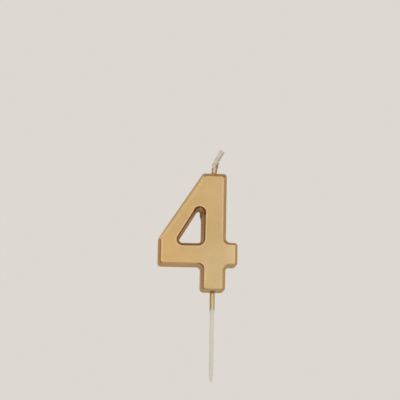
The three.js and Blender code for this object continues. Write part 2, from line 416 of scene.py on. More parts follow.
# %% Draw the outline
def outline(corners, draft=0.0, share=0.0):
    """The closed outline: each corner's arc, then the steps along the side that leaves it."""
    arcs = corner_arcs(corners, draft, share)
    points = []
    for i, arc in enumerate(arcs):
        following = arcs[(i + 1) % len(arcs)][0]
        steps = side_steps(corners, i)
        points += arc + [arc[-1] + (following - arc[-1]) * k / steps for k in range(1, steps)]
    return points


def side_span(corners, i):
    """The first and last place in the outline of the straight side that leaves corner i."""
    counts = [len(arc) + side_steps(corners, k) - 1 for k, arc in enumerate(corner_arcs(corners, 0, 0))]
    first = sum(counts[:i]) + len(corner_arcs(corners, 0, 0)[i]) - 1
    return first, first + side_steps(corners, i)


print("outline points:", len(outline(numeral_corners())), "and", len(outline(counter_corners())))

# %% [markdown]
# ## From outline to wax
# A mould leaves the wall slightly slanted, so that the cast can be drawn out, and the front edge
# has a flat bevel. The section from the back to the front is therefore a short line with three
# soft corners. It is laid round the outline, one ring of points after another. The same arcs that
# round the outline round this section too: a wider one where wall and bevel meet, and a tight one
# at the crease between bevel and face, which the eye reads as the crispness of the cast.
# Each ring remembers how far it lies from that crease, because the lacquer changes there.

# %% The section of the walls
WALL_EDGE_ROUND = 0.24
CREASE_ROUND = 0.1
WALL_STEP = 0.6
FACE_BORDER = 1.0
BORDER_STEP = 0.25


def within_one(value):
    """The value, kept between 0 and 1."""
    return min(max(value, 0.0), 1.0)


def stepped(start, end, step):
    """Places on the way from start to end, without the two ends."""
    count = max(1, round(abs(end - start) / step))
    return [start + (end - start) * k / count for k in range(1, count)]


def wall_section(slant):
    """(drawn in, depth) of the section, from the back face's border to the front face's."""
    spread = -WALL_DEPTH * slant
    inner_back = complex(spread + BACK_ROUND + FACE_BORDER, BACK)
    back_edge = complex(spread, BACK)
    wall_edge = complex(0, FRONT + BEVEL)
    crease = complex(BEVEL, FRONT)
    inner_front = complex(BEVEL + FACE_BORDER, FRONT)
    corners = [inner_back, back_edge, wall_edge, crease, inner_front]
    ways = [(b - a) / abs(b - a) for a, b in zip(corners, corners[1:])]
    radii = [BACK_ROUND, WALL_EDGE_ROUND, CREASE_ROUND]
    arcs = [arc_between(ways[i], ways[i + 1], corners[i + 1], radii[i]) for i in range(3)]
    back_arc, wall_arc, crease_arc = arcs
    border = stepped(inner_back, back_arc[0], BORDER_STEP)
    wall = stepped(back_arc[-1], wall_arc[0], WALL_STEP)
    slope = stepped(wall_arc[-1], crease_arc[0], BORDER_STEP)
    rim = stepped(crease_arc[-1], inner_front, BORDER_STEP)
    line = [inner_back, *border, *back_arc, *wall, *wall_arc, *slope, *crease_arc, *rim, inner_front]
    flat_wall = (line.index(back_arc[-1]), line.index(wall_arc[0]))
    return line, flat_wall, line.index(crease_arc[len(crease_arc) // 2])


def from_crease(line, crease):
    """Distance along the section from the crease, in millimetres, below 0 on the face."""
    steps = [0.0] + [abs(b - a) for a, b in zip(line, line[1:])]
    run = np.cumsum(steps)
    return [float(run[crease] - r) for r in run]


def draft_and_share(place):
    """How a place of the section is drawn in: evenly, and by a share of the side's bevel."""
    if place.imag > FRONT + BEVEL:
        return place.real, 0.0
    share = within_one(place.real / BEVEL)
    return place.real - share * BEVEL, share


section_line, flat_rings, crease_ring = wall_section(OUTER_DRAFT)
print("rings from back to front:", len(section_line), "flat wall:", flat_rings, "crease:", crease_ring)


# %% A mesh in the making
class Skin:
    """Points in millimetres, the marks that each of them carries, and the faces between."""

    def __init__(self, *marks):
        self.names = marks
        self.points = []
        self.marks = []
        self.faces = []

    def ring(self, points, marks):
        """Adds points, with the marks of each, and returns their numbers."""
        first = len(self.points)
        self.points += [tuple(p) for p in points]
        self.marks += marks
        return list(range(first, len(self.points)))

    def strip(self, ring, following, left_out=()):
        """Joins two closed rings by a strip of faces, apart from the places left out."""
        count = len(ring)
        for i in range(count):
            if i not in left_out:
                k = (i + 1) % count
                self.faces.append((ring[i], ring[k], following[k], following[i]))

    def object(self, name):
        """The skin as an object with its faces pointing out."""
        mesh = bpy.data.meshes.new(name)
        mesh.from_pydata([[c * MM for c in p] for p in self.points], [], self.faces)
        for k, name_of_mark in enumerate(self.names):
            values = mesh.attributes.new(name_of_mark, "FLOAT", "POINT").data
            values.foreach_set("value", [m[k] for m in self.marks])
        made = bmesh.new()
        made.from_mesh(mesh)
        unused = [point for point in made.verts if not point.link_faces]
        bmesh.ops.delete(made, geom=unused, context="VERTS")
        bmesh.ops.recalc_face_normals(made, faces=made.faces)
        open_edges = sum(not edge.is_manifold for edge in made.edges)
        made.to_mesh(mesh)
        made.free()
        mesh.shade_smooth()
        piece = bpy.data.objects.new(name, mesh)
        bpy.context.scene.collection.objects.link(piece)
        print(name, "faces:", len(mesh.polygons), "open edges:", open_edges)
        return piece


# %% [markdown]
# ## How the lacquer and the painted shade lie along an outline
# Sprayed lacquer runs before it dries. It gathers in the corners and gets thin on some of the
# sides. Painted shade goes with both: darker creases in the corners, and sides painted darker or
# lighter by the way they face the light. So each point of the outline gets two marks, which the
# material reads later: how much lacquer has gathered there, with its painted shade, and how thin
# the coat is, together with the painted shade of that side.

# %% Gathered and thin lacquer, with painted shade
# A pool here is gathered lacquer together with the painted shade in that corner.
POOL_AND_SHADE_REACH = 0.9  # a pool fades over this length of the outline
FILLED_ARC = 0.45  # share of a corner's radius that its pool fills
FILLED_END = 0.3  # what a pool fills at each end of a sharp corner's arc
SHARP_TURN = math.radians(125)


def thin_and_shade_along(corners):
    """How much the coat thins, and how much painted shade the side gets, at each point of the outline,
    changing evenly round each corner.
    """
    made = []
    for i, arc in enumerate(corner_arcs(corners, 0, 0)):
        before, after = corners[i - 1].thin_and_shade, corners[i].thin_and_shade
        made += [before + (after - before) * k / (len(arc) - 1) for k in range(len(arc))]
        made += [after] * (side_steps(corners, i) - 1)
    return made


def gathering_and_shade_places(corners):
    """(place, reach, amount) of the lacquer that gathers, with its painted shade: in each corner, or,
    where the corner is so sharp that its arc lies far from it, at both ends of the arc."""
    places = []
    for c, arc in zip(corners, corner_arcs(corners, 0, 0)):
        turn = abs(cmath.phase((arc[-1] - arc[-2]) / (arc[1] - arc[0])))
        if turn > SHARP_TURN:
            places += [(arc[0], FILLED_END, c.pool), (arc[-1], FILLED_END, c.pool)]
        else:
            places.append((c.at, FILLED_ARC * c.radius, c.pool))
    return places


def pooled_and_shade_along(corners):
    """How much lacquer, with its painted shade, gathers at each point of the outline: full in a corner,
    fading beside it.
    """
    places = gathering_and_shade_places(corners)
    made = []
    for point in outline(corners):
        near = [max(abs(point - place) - reach, 0.0) for place, reach, _ in places]
        amounts = [pool * math.exp(-d / POOL_AND_SHADE_REACH) for d, (_, _, pool) in zip(near, places)]
        made.append(min(max(amounts), 1.0))
    return made


print("places round the counter where lacquer gathers:", len(gathering_and_shade_places(counter_corners())))


# %% Lay the walls
def lay_walls(skin, corners, slant, in_counter, flat_sides=()):
    """The rings of the section round an outline. The flat sides named are left open for a patch."""
    line, (first_flat, last_flat), crease = wall_section(slant)
    distances = from_crease(line, crease)
    coats = list(zip(pooled_and_shade_along(corners), thin_and_shade_along(corners)))
    rings = []
    for place, distance in zip(line, distances):
        points = outline(corners, *draft_and_share(place))
        marks = [(distance, in_counter, pool, thin_and_shade, 1.0) for pool, thin_and_shade in coats]
        rings.append(skin.ring([(p.real, place.imag, p.imag) for p in points], marks))
    spans = [range(*side_span(corners, side)) for side in flat_sides]
    open_places = {i for span in spans for i in span}
    for k in range(len(rings) - 1):
        skin.strip(rings[k], rings[k + 1], open_places if first_flat <= k < last_flat else ())
    return rings


print("points in one ring of the outer walls:", len(outline(numeral_corners())))

# %% [markdown]
# ## Flat faces
# The face, the back, the top and the underside are flat, and three of them are pierced. A grid of
# points is laid over each, and Blender's constrained Delaunay triangulation joins it to the rim.
# The inner points matter: without them the long thin triangles could not carry the slight waves
# of a cast surface.

# %% Fill a flat region
GRID_STEP = 0.42
KEEP_OFF = 0.5  # share of the grid step between the rim and the first inner points


def inside(points, loops):
    """Whether each point lies within the first loop and outside the other loops."""
    hit = np.zeros(len(points), bool)
    for loop in loops:
        a = np.array(loop)
        b = np.roll(a, -1)
        rise = np.where(b.imag == a.imag, 1.0, b.imag - a.imag)
        level = points.imag[:, None]
        crosses = (a.imag > level) != (b.imag > level)
        cut = a.real + (level - a.imag) * (b.real - a.real) / rise
        hit ^= (crosses & (points.real[:, None] < cut)).sum(axis=1) % 2 == 1
    return hit


def grid_over(rim):
    """A grid of points whose rows are shifted by half a step, as in a honeycomb."""
    rows = np.arange(rim.imag.min(), rim.imag.max(), GRID_STEP * math.sqrt(3) / 2)
    columns = np.arange(rim.real.min(), rim.real.max(), GRID_STEP)
    shift = np.arange(len(rows)) % 2 * GRID_STEP / 2
    return (columns[None, :] + shift[:, None] + 1j * rows[:, None]).ravel()


def fill_region(loops):
    """The inner points and the triangles of a flat region. Triangles number the loops' points first."""
    rim = np.concatenate([np.array(loop) for loop in loops])
    grid = grid_over(rim)
    room = np.abs(grid[:, None] - rim[None, :]).min(axis=1) > KEEP_OFF * GRID_STEP
    inner = grid[inside(grid, loops) & room]
    spots = [Vector((p.real, p.imag)) for p in np.concatenate([rim, inner])]
    outlines, start = [], 0
    for loop in loops:
        turns_left = sum(cross(a, b) for a, b in zip(loop, loop[1:] + loop[:1])) > 0
        order = range(start, start + len(loop))
        outlines.append(list(order if turns_left else reversed(order)))
        start += len(loop)
    made = geometry.delaunay_2d_cdt(spots, [], outlines, 0, 1e-6)
    faces, sources, owners = made[2], made[3], made[5]
    kept = [[sources[i][0] for i in face] for face, owner in zip(faces, owners) if owner == [0]]
    return inner, kept


print("grid step of the flat faces", GRID_STEP, "mm")


# %% Close the flat faces
def patch(skin, loops, flatten, lift, distance):
    """Closes a flat region between loops of the skin's points. flatten gives a point's place in
    the plane, lift gives the point back, and distance tells how far it lies from the crease."""
    flat = [[flatten(skin.points[i]) for i in loop] for loop in loops]
    inner, triangles = fill_region(flat)
    points = [lift(p) for p in inner]
    added = skin.ring(points, [(distance(y), 0.0, 0.0, 1.0, 1.0) for _, y, _ in points])
    known = [i for loop in loops for i in loop] + added
    skin.faces += [tuple(known[i] for i in triangle) for triangle in triangles]


def close_face(skin, loops, depth, distance):
    """Closes the front or the back face between its outer rim and the counter's."""
    patch(skin, loops, lambda p: complex(p[0], p[2]), lambda p: (p.real, depth, p.imag),
          lambda y: distance)


def close_end(skin, loops, height):
    """Closes the stem's top or underside round a collar. height gives its height at a depth y."""
    wall_start = abs(complex(BEVEL, BEVEL))
    patch(skin, loops, lambda p: complex(p[0], p[1]), lambda p: (p.real, p.imag, height(p.imag)),
          lambda y: wall_start + y - FRONT - BEVEL)


print("helpers ready: patch, close_face, close_end")

# %% [markdown]
# ## Where the wick and the pick leave the wax
# Wax creeps up both as it sets, so each stands in a small collar. Below it the wax holds the
# piece's own form: a plain bore round the wick, and a socket round the barbed rings of the pick.
# Each is turned about the stem's axis from a list of radius and height.

# %% Sizes of the wick and the pick
WICK_RADIUS = 0.85
WICK_IN_WAX = HEIGHT - WICK_LOW.z
PICK_RADIUS = 0.66
PICK_IN_WAX = PICK_HIGH.z
PICK_LENGTH = -PICK_LOW.z
RING_RADIUS = 1.05
RING_COUNT = 3
RING_SPACING = 3.0
RING_RAMP = 1.1
RING_SHELF = 0.25
FIRST_RING = 2.2
SHANK_CHAMFER = 0.3
CAST_GAP = 0.03
ROUND_SIDES = 40


def shank_profile(gap):
    """(radius, height) of the pick's shank above the foot, grown by a gap all round."""
    profile = []
    for i in range(RING_COUNT):
        shelf = FIRST_RING + i * RING_SPACING - gap
        profile += [(PICK_RADIUS + gap, shelf), (RING_RADIUS + gap, shelf)]
        profile += [(RING_RADIUS + gap, shelf + RING_SHELF + 2 * gap)]
        profile += [(PICK_RADIUS + gap, shelf + RING_SHELF + RING_RAMP + 2 * gap)]
    side, top = PICK_RADIUS + gap, PICK_IN_WAX + gap
    return profile + [(side, top - SHANK_CHAMFER), (side - SHANK_CHAMFER, top)]


WICK_COLLAR = [(1.2, 0.0), (1.08, 0.02), (0.99, 0.08), (0.93, 0.17), (0.9, 0.28), (0.88, 0.32)]
PICK_COLLAR = [(1.05, 0.0), (0.93, 0.02), (0.85, 0.07), (0.8, 0.14), (0.77, 0.24), (0.75, 0.27)]


def circle(radius):
    turns = [cmath.exp(2j * math.pi * i / ROUND_SIDES) for i in range(ROUND_SIDES)]
    return [radius * turn for turn in turns]


def add_socket(skin, collar, bore, plane, outwards):
    """A collar on a flat end of the stem and the bore under it. plane gives the end's height at a
    depth y, and outwards is 1 on the top and -1 on the underside. Returns the collar's foot."""
    rings = []
    for radius, height in collar:
        points = [(p.real, p.imag, plane(p.imag) + outwards * height) for p in circle(radius)]
        rings.append(skin.ring(points, [(height - collar[-1][1], 0.0, 1.0, 1.0, 0.0)] * ROUND_SIDES))
    for radius, height in bore:
        points = [(p.real, p.imag, height) for p in circle(radius)]
        rings.append(skin.ring(points, [(FACE_BORDER, 0.0, 1.0, 1.0, 0.0)] * ROUND_SIDES))
    for ring, following in zip(rings, rings[1:]):
        skin.strip(ring, following)
    skin.faces.append(tuple(rings[-1]))
    return rings[0]


print("barbed rings:", RING_COUNT, "shank points:", len(shank_profile(0)))

# %% [markdown]
# ## Casting
# All parts of the skin come together here. Near the back, a drip of wax has set on the counter's
# upright wall. Someone building this by hand could pull it out with the sculpt tools. A push that
# fades to all sides does the same, and it can be read and changed.

# %% A drip of wax in the counter
DRIP_HEIGHT = 24.0
DRIP_REACH = 1.1
DRIP_DEPTH = 0.42
DRIP_START = 0.8  # behind the middle of the wall
DRIP_FULL = 2.42  # from here to the back it has its whole depth
DRIP_SIDE = COUNTER_RIGHT - 1.5  # the push starts here and is full a millimetre further right


def add_drip(skin, rings):
    """Pushes the counter's upright wall out into a drip, towards the back."""
    for i in (i for ring in rings for i in ring):
        x, y, z = skin.points[i]
        near = math.exp(-(((z - DRIP_HEIGHT) / DRIP_REACH) ** 2))
        deep = within_one((y - DRIP_START) / (DRIP_FULL - DRIP_START))
        upright = within_one(x - DRIP_SIDE)
        skin.points[i] = (x - DRIP_DEPTH * near * deep * upright, y, z)


print("drip: reaches", DRIP_DEPTH, "mm into the counter, at height", DRIP_HEIGHT, "mm")


# %% Cast the numeral
def end_height(side, y):
    """Height of the stem's top or underside at a depth y. Both spread towards the back."""
    spread = GROWTH * (y - FRONT - BEVEL) / WALL_DEPTH
    return HEIGHT + spread if side == TOP_SIDE else -spread


def end_rim(rings, flats, span):
    """The closed rim of a flat end: back edge, right column, front edge, left column."""
    (first_flat, last_flat), (start, end) = flats, span
    back_edge = rings[first_flat][start : end + 1]
    right = [rings[k][end] for k in range(first_flat + 1, last_flat)]
    front_edge = rings[last_flat][start : end + 1][::-1]
    left = [rings[k][start] for k in range(last_flat - 1, first_flat, -1)]
    return back_edge + right + front_edge + left


def cast_numeral():
    skin = Skin("from_crease", "in_counter", "pooled_and_shade", "thin_coat_and_shade", "cast_wave")
    corners = numeral_corners()
    walls = lay_walls(skin, corners, OUTER_DRAFT, 0.0, (FOOT_SIDE, TOP_SIDE))
    counter = lay_walls(skin, counter_corners(), COUNTER_DRAFT, 1.0)
    add_drip(skin, counter)
    wick_bore = [(WICK_RADIUS + CAST_GAP, WICK_LOW.z - CAST_GAP)]
    sockets = [(TOP_SIDE, WICK_COLLAR, wick_bore, 1), (FOOT_SIDE, PICK_COLLAR, shank_profile(CAST_GAP), -1)]
    for side, collar, bore, outwards in sockets:
        height = functools.partial(end_height, side)
        collar_foot = add_socket(skin, collar, bore, height, outwards)
        rim = end_rim(walls, flat_rings, side_span(corners, side))
        close_end(skin, [rim, collar_foot], height)
    close_face(skin, [walls[0], counter[0]], BACK, THICKNESS + FACE_BORDER)
    close_face(skin, [walls[-1], counter[-1]], FRONT, -FACE_BORDER)
    return skin.object("gold_numeral")


gold_numeral = cast_numeral()

# %% [markdown]
# ## The waves of a cast surface
# Wax shrinks as it sets, so a cast face is never a true plane. It has slow waves, a few hundredths
# of a millimetre high, which show as soft changes of tone in the gold. This is a rule for every
# point of the surface, so a small Geometry Nodes tree makes it: it moves each point along its
# normal by seeded noise. The walls of the bores, which nothing shows, stay true.

# %% Helpers for textures and groups
def one_over(tree, length):
    """The scale that gives a texture this length, which is a number or another node's output."""
    if isinstance(length, bpy.types.NodeSocket):
        return maths(tree, "DIVIDE", 1.0, length)
    return 1 / length


def noise(tree, place, wavelength, detail=2.0, seed=0.0):
    """Noise around 0.5, with a grain of about that wavelength in metres."""
    inputs = {"Vector": place, "W": seed, "Scale": one_over(tree, wavelength), "Detail": detail}
    return add(tree, "ShaderNodeTexNoise", inputs, noise_dimensions="4D").outputs["Fac"]


def swayed(tree, middle, sway, value):
    """The middle, moved up and down by a noise around 0.5, by half of the sway at most."""
    return maths(tree, "MULTIPLY_ADD", maths(tree, "SUBTRACT", value, 0.5), sway, middle)


def scaled(tree, vector, factor):
    """A vector or a colour multiplied by a number."""
    inputs = {0: vector, "Scale": factor}
    return add(tree, "ShaderNodeVectorMath", inputs, operation="SCALE").outputs[0]


def group_tree(name, kind, inputs, outputs):
    """A new node group with named sockets, and its input and output nodes."""
    tree = bpy.data.node_groups.new(name, kind)
    for label, socket, value in inputs:
        made = tree.interface.new_socket(label, in_out="INPUT", socket_type="NodeSocket" + socket)
        if value is not None:
            made.default_value = value
    for label, socket in outputs:
        tree.interface.new_socket(label, in_out="OUTPUT", socket_type="NodeSocket" + socket)
    return tree, tree.nodes.new("NodeGroupInput").outputs, tree.nodes.new("NodeGroupOutput").inputs


print("helpers ready: one_over, noise, swayed, scaled, group_tree")


# %% Helpers for Geometry Nodes
def add_modifier(piece, tree, values):
    """Runs a tree on a piece. values names the tree's inputs; the modifier wants identifiers."""
    modifier = piece.modifiers.new(tree.name, "NODES")
    modifier.node_group = tree
    for item in tree.interface.items_tree:
        if item.in_out == "INPUT" and item.name in values:
            modifier[item.identifier] = values[item.name]
    return modifier


def baked_mesh(piece):
    """The piece's evaluated mesh, as a plain mesh without modifiers."""
    seen = piece.evaluated_get(bpy.context.evaluated_depsgraph_get())
    return bpy.data.meshes.new_from_object(seen)


def settle(piece):
    """Puts what the modifiers make into the piece's own mesh, and removes them."""
    mesh = baked_mesh(piece)
    piece.modifiers.clear()
    piece.data = mesh
    mesh.name = piece.name
    return piece


def finish_tree(tree, geometry_socket, material_socket, output):
    """The last two nodes of each tree: real geometry, and its material."""
    real = add(tree, "GeometryNodeRealizeInstances", {0: geometry_socket}).outputs[0]
    painted = add(tree, "GeometryNodeSetMaterial", {"Geometry": real, "Material": material_socket})
    tree.links.new(painted.outputs[0], output)


print("helpers ready: add_modifier, settle, finish_tree")

# %% The waves as a tree
WAVES_INPUTS = [
    ("Geometry", "Geometry", None), ("Height", "Float", 0.0), ("Length", "Float", 0.01),
    ("Fine Height", "Float", 0.0), ("Fine Length", "Float", 0.001), ("Seed", "Float", 0.0),
    ("Material", "Material", None)]


def cast_waves_tree():
    tree, given, result = group_tree(
        "cast_waves", "GeometryNodeTree", WAVES_INPUTS, [("Geometry", "Geometry")])
    place = add(tree, "GeometryNodeInputPosition").outputs[0]
    normal = add(tree, "GeometryNodeInputNormal").outputs[0]
    mask = add(tree, "GeometryNodeInputNamedAttribute", {"Name": "cast_wave"}, data_type="FLOAT")
    shift = 0.0
    for height, length in (("Height", "Length"), ("Fine Height", "Fine Length")):
        wave = noise(tree, place, given[length], 1.0, given["Seed"])
        shift = swayed(tree, shift, given[height], wave)
    offset = scaled(tree, normal, product(tree, shift, mask.outputs["Attribute"]))
    moved = add(tree, "GeometryNodeSetPosition", {"Geometry": given["Geometry"], "Offset": offset})
    finish_tree(tree, moved.outputs[0], given["Material"], result["Geometry"])
    return tree


cast_waves = cast_waves_tree()
print("tree:", cast_waves.name, "nodes:", len(cast_waves.nodes))

# %% [markdown]
# ## The wick
# A candle wick is a plait: three strands, each of a few twisted cotton yarns, boiled in wax so
# that it stands by itself. A plait follows a rule. Along its path each strand swings from side to
# side like a sine, and to the front and back twice as fast, and its yarns wind round it like a
# rope. So the path is drawn first, and a Geometry Nodes tree turns it into yarns. A plain tube of
# wax inside fills the gaps between them. It is thicker at the root, where lacquer fills them too.
# Just above the root, where the lacquer no longer binds the strands, the plait swells a little.

# %% The path of the wick
WICK_LEAN = [0.9j, 0.3 + 2.9j, 0.56 + 4.0j, 1.43 + 5.7j, 2.42 + 7.42j]  # sideways, above the top
PATH_STEPS = 16


def smooth_path(points):
    """A smooth line through the points, by the centripetal Catmull-Rom rule."""
    through = [2 * points[0] - points[1], *points, 2 * points[-1] - points[-2]]
    line = []
    for a, b, c, d in zip(through, through[1:], through[2:], through[3:]):
        ab, bc, cd = (math.sqrt(abs(q - p)) for p, q in ((a, b), (b, c), (c, d)))
        leave = bc * ((b - a) / ab - (c - a) / (ab + bc)) + (c - b)
        arrive = bc * ((d - c) / cd - (d - b) / (bc + cd)) + (c - b)
        for t in (k / PATH_STEPS for k in range(PATH_STEPS)):
            ends = (1 + 2 * t) * (1 - t) ** 2 * b + t**2 * (3 - 2 * t) * c
            line.append(ends + t * (1 - t) ** 2 * leave + t**2 * (t - 1) * arrive)
    return line + [points[-1]]


def wick_path():
    buried = [-1j * WICK_IN_WAX, -0.5j * WICK_IN_WAX, 0j]
    line = smooth_path(buried + WICK_LEAN)
    points = [(p.real * MM, 0, (HEIGHT + p.imag) * MM) for p in line]
    mesh = bpy.data.meshes.new("plaited_wick")
    mesh.from_pydata(points, [(i, i + 1) for i in range(len(points) - 1)], [])
    wick = bpy.data.objects.new("plaited_wick", mesh)
    bpy.context.scene.collection.objects.link(wick)
    return wick


plaited_wick = wick_path()
path_points = plaited_wick.data.vertices
print("wick path:", len(path_points), "points, tip in metres:", tuple(path_points[-1].co))


# %% More helpers for trees
def in_millimetres(tree, length):
    return maths(tree, "DIVIDE", length, MM)


def split(tree, vector):
    """X, Y and Z of a vector."""
    return add(tree, "ShaderNodeSeparateXYZ", {0: vector}).outputs


def away_from(tree, value, middle):
    """How far a value lies from the middle, to either side."""
    return maths(tree, "ABSOLUTE", maths(tree, "SUBTRACT", value, middle))


def mix_number(tree, share, first, second):
    return add(tree, "ShaderNodeMix", {0: share, 2: first, 3: second}).outputs[0]


def mark(tree, geometry_socket, name, value):
    """Stores a number at each point, for the material to read."""
    inputs = {"Geometry": geometry_socket, "Name": name, "Value": value}
    return add(tree, "GeometryNodeStoreNamedAttribute", inputs, data_type="FLOAT").outputs[0]


def joined(tree, *parts):
    both = add(tree, "GeometryNodeJoinGeometry")
    for part in parts:
        tree.links.new(part, both.inputs[0])
    return both.outputs[0]


def tube(tree, line, sides, radius):
    """A closed round tube along a line. The radius may change on the way."""
    ring = add(tree, "GeometryNodeCurvePrimitiveCircle", {"Resolution": sides, "Radius": 1.0})
    inputs = {"Curve": line, "Profile Curve": ring.outputs["Curve"], "Scale": radius, "Fill Caps": True}
    solid = add(tree, "GeometryNodeCurveToMesh", inputs).outputs["Mesh"]
    return add(tree, "GeometryNodeSetShadeSmooth", {"Geometry": solid}).outputs[0]


print("helpers ready: in_millimetres, split, away_from, mix_number, mark, joined, tube")

# %% The plait as a tree
PLAIT_INPUTS = [
    ("Geometry", "Geometry", None), ("Strands", "Int", 3), ("Yarns", "Int", 4),
    ("Yarn Radius", "Float", 0.001), ("Yarn Offset", "Float", 0.001), ("Swing", "Float", 0.001),
    ("Depth", "Float", 0.001), ("Pitch", "Float", 0.01), ("Twist", "Float", 0.01),
    ("Step", "Float", 0.001), ("Buried", "Float", 0.0), ("Wax Radius", "Float", 0.001),
    ("Root Radius", "Float", 0.001), ("Root Length", "Float", 0.001), ("Bulge", "Float", 0.0),
    ("Bulge Height", "Float", 0.001), ("Bulge Reach", "Float", 0.001), ("Material", "Material", None)]
YARN_SIDES = 8
CORE_SIDES = 24


def turn_at(tree, length, wavelength, share):
    """An angle that makes one turn in each wavelength, ahead by a share of a turn."""
    turns = maths(tree, "ADD", maths(tree, "DIVIDE", length, wavelength), share)
    return maths(tree, "MULTIPLY", turns, 2 * math.pi)


def yarn_offset(tree, given, above, length, number):
    """How far each yarn lies beside the path: its strand's swing, and its own turn in the strand."""
    yarn_share = maths(tree, "DIVIDE", number, given["Yarns"])
    strand_share = maths(tree, "DIVIDE", maths(tree, "FLOOR", yarn_share), given["Strands"])
    swing = turn_at(tree, length, given["Pitch"], strand_share)
    wind = turn_at(tree, length, given["Twist"], yarn_share)
    sideways = product(tree, maths(tree, "SINE", swing), given["Swing"])
    sideways = maths(tree, "MULTIPLY_ADD", maths(tree, "COSINE", wind), given["Yarn Offset"], sideways)
    deep = product(tree, maths(tree, "SINE", product(tree, swing, 2.0)), given["Depth"])
    deep = maths(tree, "MULTIPLY_ADD", maths(tree, "SINE", wind), given["Yarn Offset"], deep)
    off_bulge = away_from(tree, above, in_millimetres(tree, given["Bulge Height"]))
    bulge = between(tree, off_bulge, in_millimetres(tree, given["Bulge Reach"]), 0.0)
    spread = maths(tree, "MULTIPLY_ADD", bulge, given["Bulge"], 1.0)
    tangent = add(tree, "GeometryNodeInputTangent").outputs[0]
    across = vector_maths(tree, "CROSS_PRODUCT", (0, 1, 0), tangent)
    deep = add(tree, "ShaderNodeCombineXYZ", {"Y": product(tree, deep, spread)}).outputs[0]
    return vector_maths(tree, "ADD", scaled(tree, across, product(tree, sideways, spread)), deep)


def plait_tree():
    tree, given, result = group_tree("plait", "GeometryNodeTree", PLAIT_INPUTS, [("Geometry", "Geometry")])
    line = add(tree, "GeometryNodeMeshToCurve", {"Mesh": given["Geometry"]}).outputs[0]
    line = add(tree, "GeometryNodeResampleCurve", {"Curve": line, "Length": given["Step"]}, mode="LENGTH")
    length = add(tree, "GeometryNodeSplineParameter").outputs["Length"]
    above = in_millimetres(tree, maths(tree, "SUBTRACT", length, given["Buried"]))
    path = mark(tree, line.outputs[0], "above_wax", above)
    place = add(tree, "GeometryNodeInputPosition").outputs[0]
    path = mark(tree, path, "path_x", in_millimetres(tree, split(tree, place)["X"]))

    total = product(tree, given["Strands"], given["Yarns"])
    inputs = {"Geometry": path, "Amount": total}
    copies = add(tree, "GeometryNodeDuplicateElements", inputs, domain="SPLINE").outputs
    number = copies["Duplicate Index"]
    yarns = mark(tree, copies["Geometry"], "yarn", maths(tree, "ADD", number, 1.0))
    offset = yarn_offset(tree, given, above, length, number)
    yarns = add(tree, "GeometryNodeSetPosition", {"Geometry": yarns, "Offset": offset}).outputs[0]
    yarns = tube(tree, yarns, YARN_SIDES, given["Yarn Radius"])

    root = between(tree, above, in_millimetres(tree, given["Root Length"]), 0.0)
    width = mix_number(tree, root, given["Wax Radius"], given["Root Radius"])
    core = mark(tree, tube(tree, path, CORE_SIDES, width), "yarn", 0.0)
    finish_tree(tree, joined(tree, yarns, core), given["Material"], result["Geometry"])
    return tree


plait = plait_tree()
print("tree:", plait.name, "nodes:", len(plait.nodes))

# %% [markdown]
# ## Loose fibres
# Even a waxed wick sheds a few fibres, most of them where it was cut. A second tree scatters
# points over the yarns, more densely near the cut end, and grows a short bent fibre from each. It
# leans along the normal of the yarn that it comes from, and a fixed seed keeps it the same.

# %% Fibres as a tree
FIBRE_SIDES = 3
FIBRE_POINTS = 5
FIBRE_BEND = 0.5  # how far its end bends over, as a share of its length
SHORTEST_FIBRE = 0.35  # as a share of the longest
FRAY_INPUTS = [
    ("Geometry", "Geometry", None), ("Density", "Float", 1.0), ("End Density", "Float", 1.0),
    ("From Height", "Float", 0.0), ("End Height", "Float", 1.0), ("Length", "Float", 0.001),
    ("Radius", "Float", 0.0001), ("Seed", "Int", 0), ("Material", "Material", None)]


def fibre(tree, length, radius):
    """One fibre that stands up along Z and bends over towards X."""
    end = add(tree, "ShaderNodeCombineXYZ", {"Z": length}).outputs[0]
    line = add(tree, "GeometryNodeCurvePrimitiveLine", {"End": end}).outputs[0]
    inputs = {"Curve": line, "Count": FIBRE_POINTS}
    line = add(tree, "GeometryNodeResampleCurve", inputs, mode="COUNT").outputs[0]
    share = add(tree, "GeometryNodeSplineParameter").outputs["Factor"]
    bend = product(tree, share, share, product(tree, length, FIBRE_BEND))
    offset = add(tree, "ShaderNodeCombineXYZ", {"X": bend}).outputs[0]
    line = add(tree, "GeometryNodeSetPosition", {"Geometry": line, "Offset": offset}).outputs[0]
    return tube(tree, line, FIBRE_SIDES, radius)


def fray_tree():
    tree, given, result = group_tree("fray", "GeometryNodeTree", FRAY_INPUTS, [("Geometry", "Geometry")])
    inputs = {"Name": "above_wax"}
    height = add(tree, "GeometryNodeInputNamedAttribute", inputs, data_type="FLOAT").outputs[0]
    free = maths(tree, "GREATER_THAN", height, given["From Height"])
    cut_end = maths(tree, "GREATER_THAN", height, given["End Height"])
    crowd = maths(tree, "MULTIPLY_ADD", cut_end, given["End Density"], given["Density"])
    inputs = {"Mesh": given["Geometry"], "Density": product(tree, crowd, free), "Seed": given["Seed"]}
    spots = add(tree, "GeometryNodeDistributePointsOnFaces", inputs).outputs
    inputs = {0: (-1, -1, -0.2), 1: (1, 1, 1), "Seed": given["Seed"]}
    scatter = add(tree, "FunctionNodeRandomValue", inputs, data_type="FLOAT_VECTOR").outputs[0]
    lean = vector_maths(tree, "ADD", spots["Normal"], scatter)
    turned = add(tree, "FunctionNodeAlignRotationToVector", {"Vector": lean}, axis="Z").outputs[0]
    inputs = {2: SHORTEST_FIBRE, 3: 1.0, "Seed": given["Seed"]}
    size = add(tree, "FunctionNodeRandomValue", inputs).outputs[1]
    inputs = {"Points": spots["Points"], "Rotation": turned, "Scale": size,
              "Instance": fibre(tree, given["Length"], given["Radius"])}
    fibres = add(tree, "GeometryNodeInstanceOnPoints", inputs).outputs[0]
    both = joined(tree, given["Geometry"], fibres)
    finish_tree(tree, both, given["Material"], result["Geometry"])
    return tree


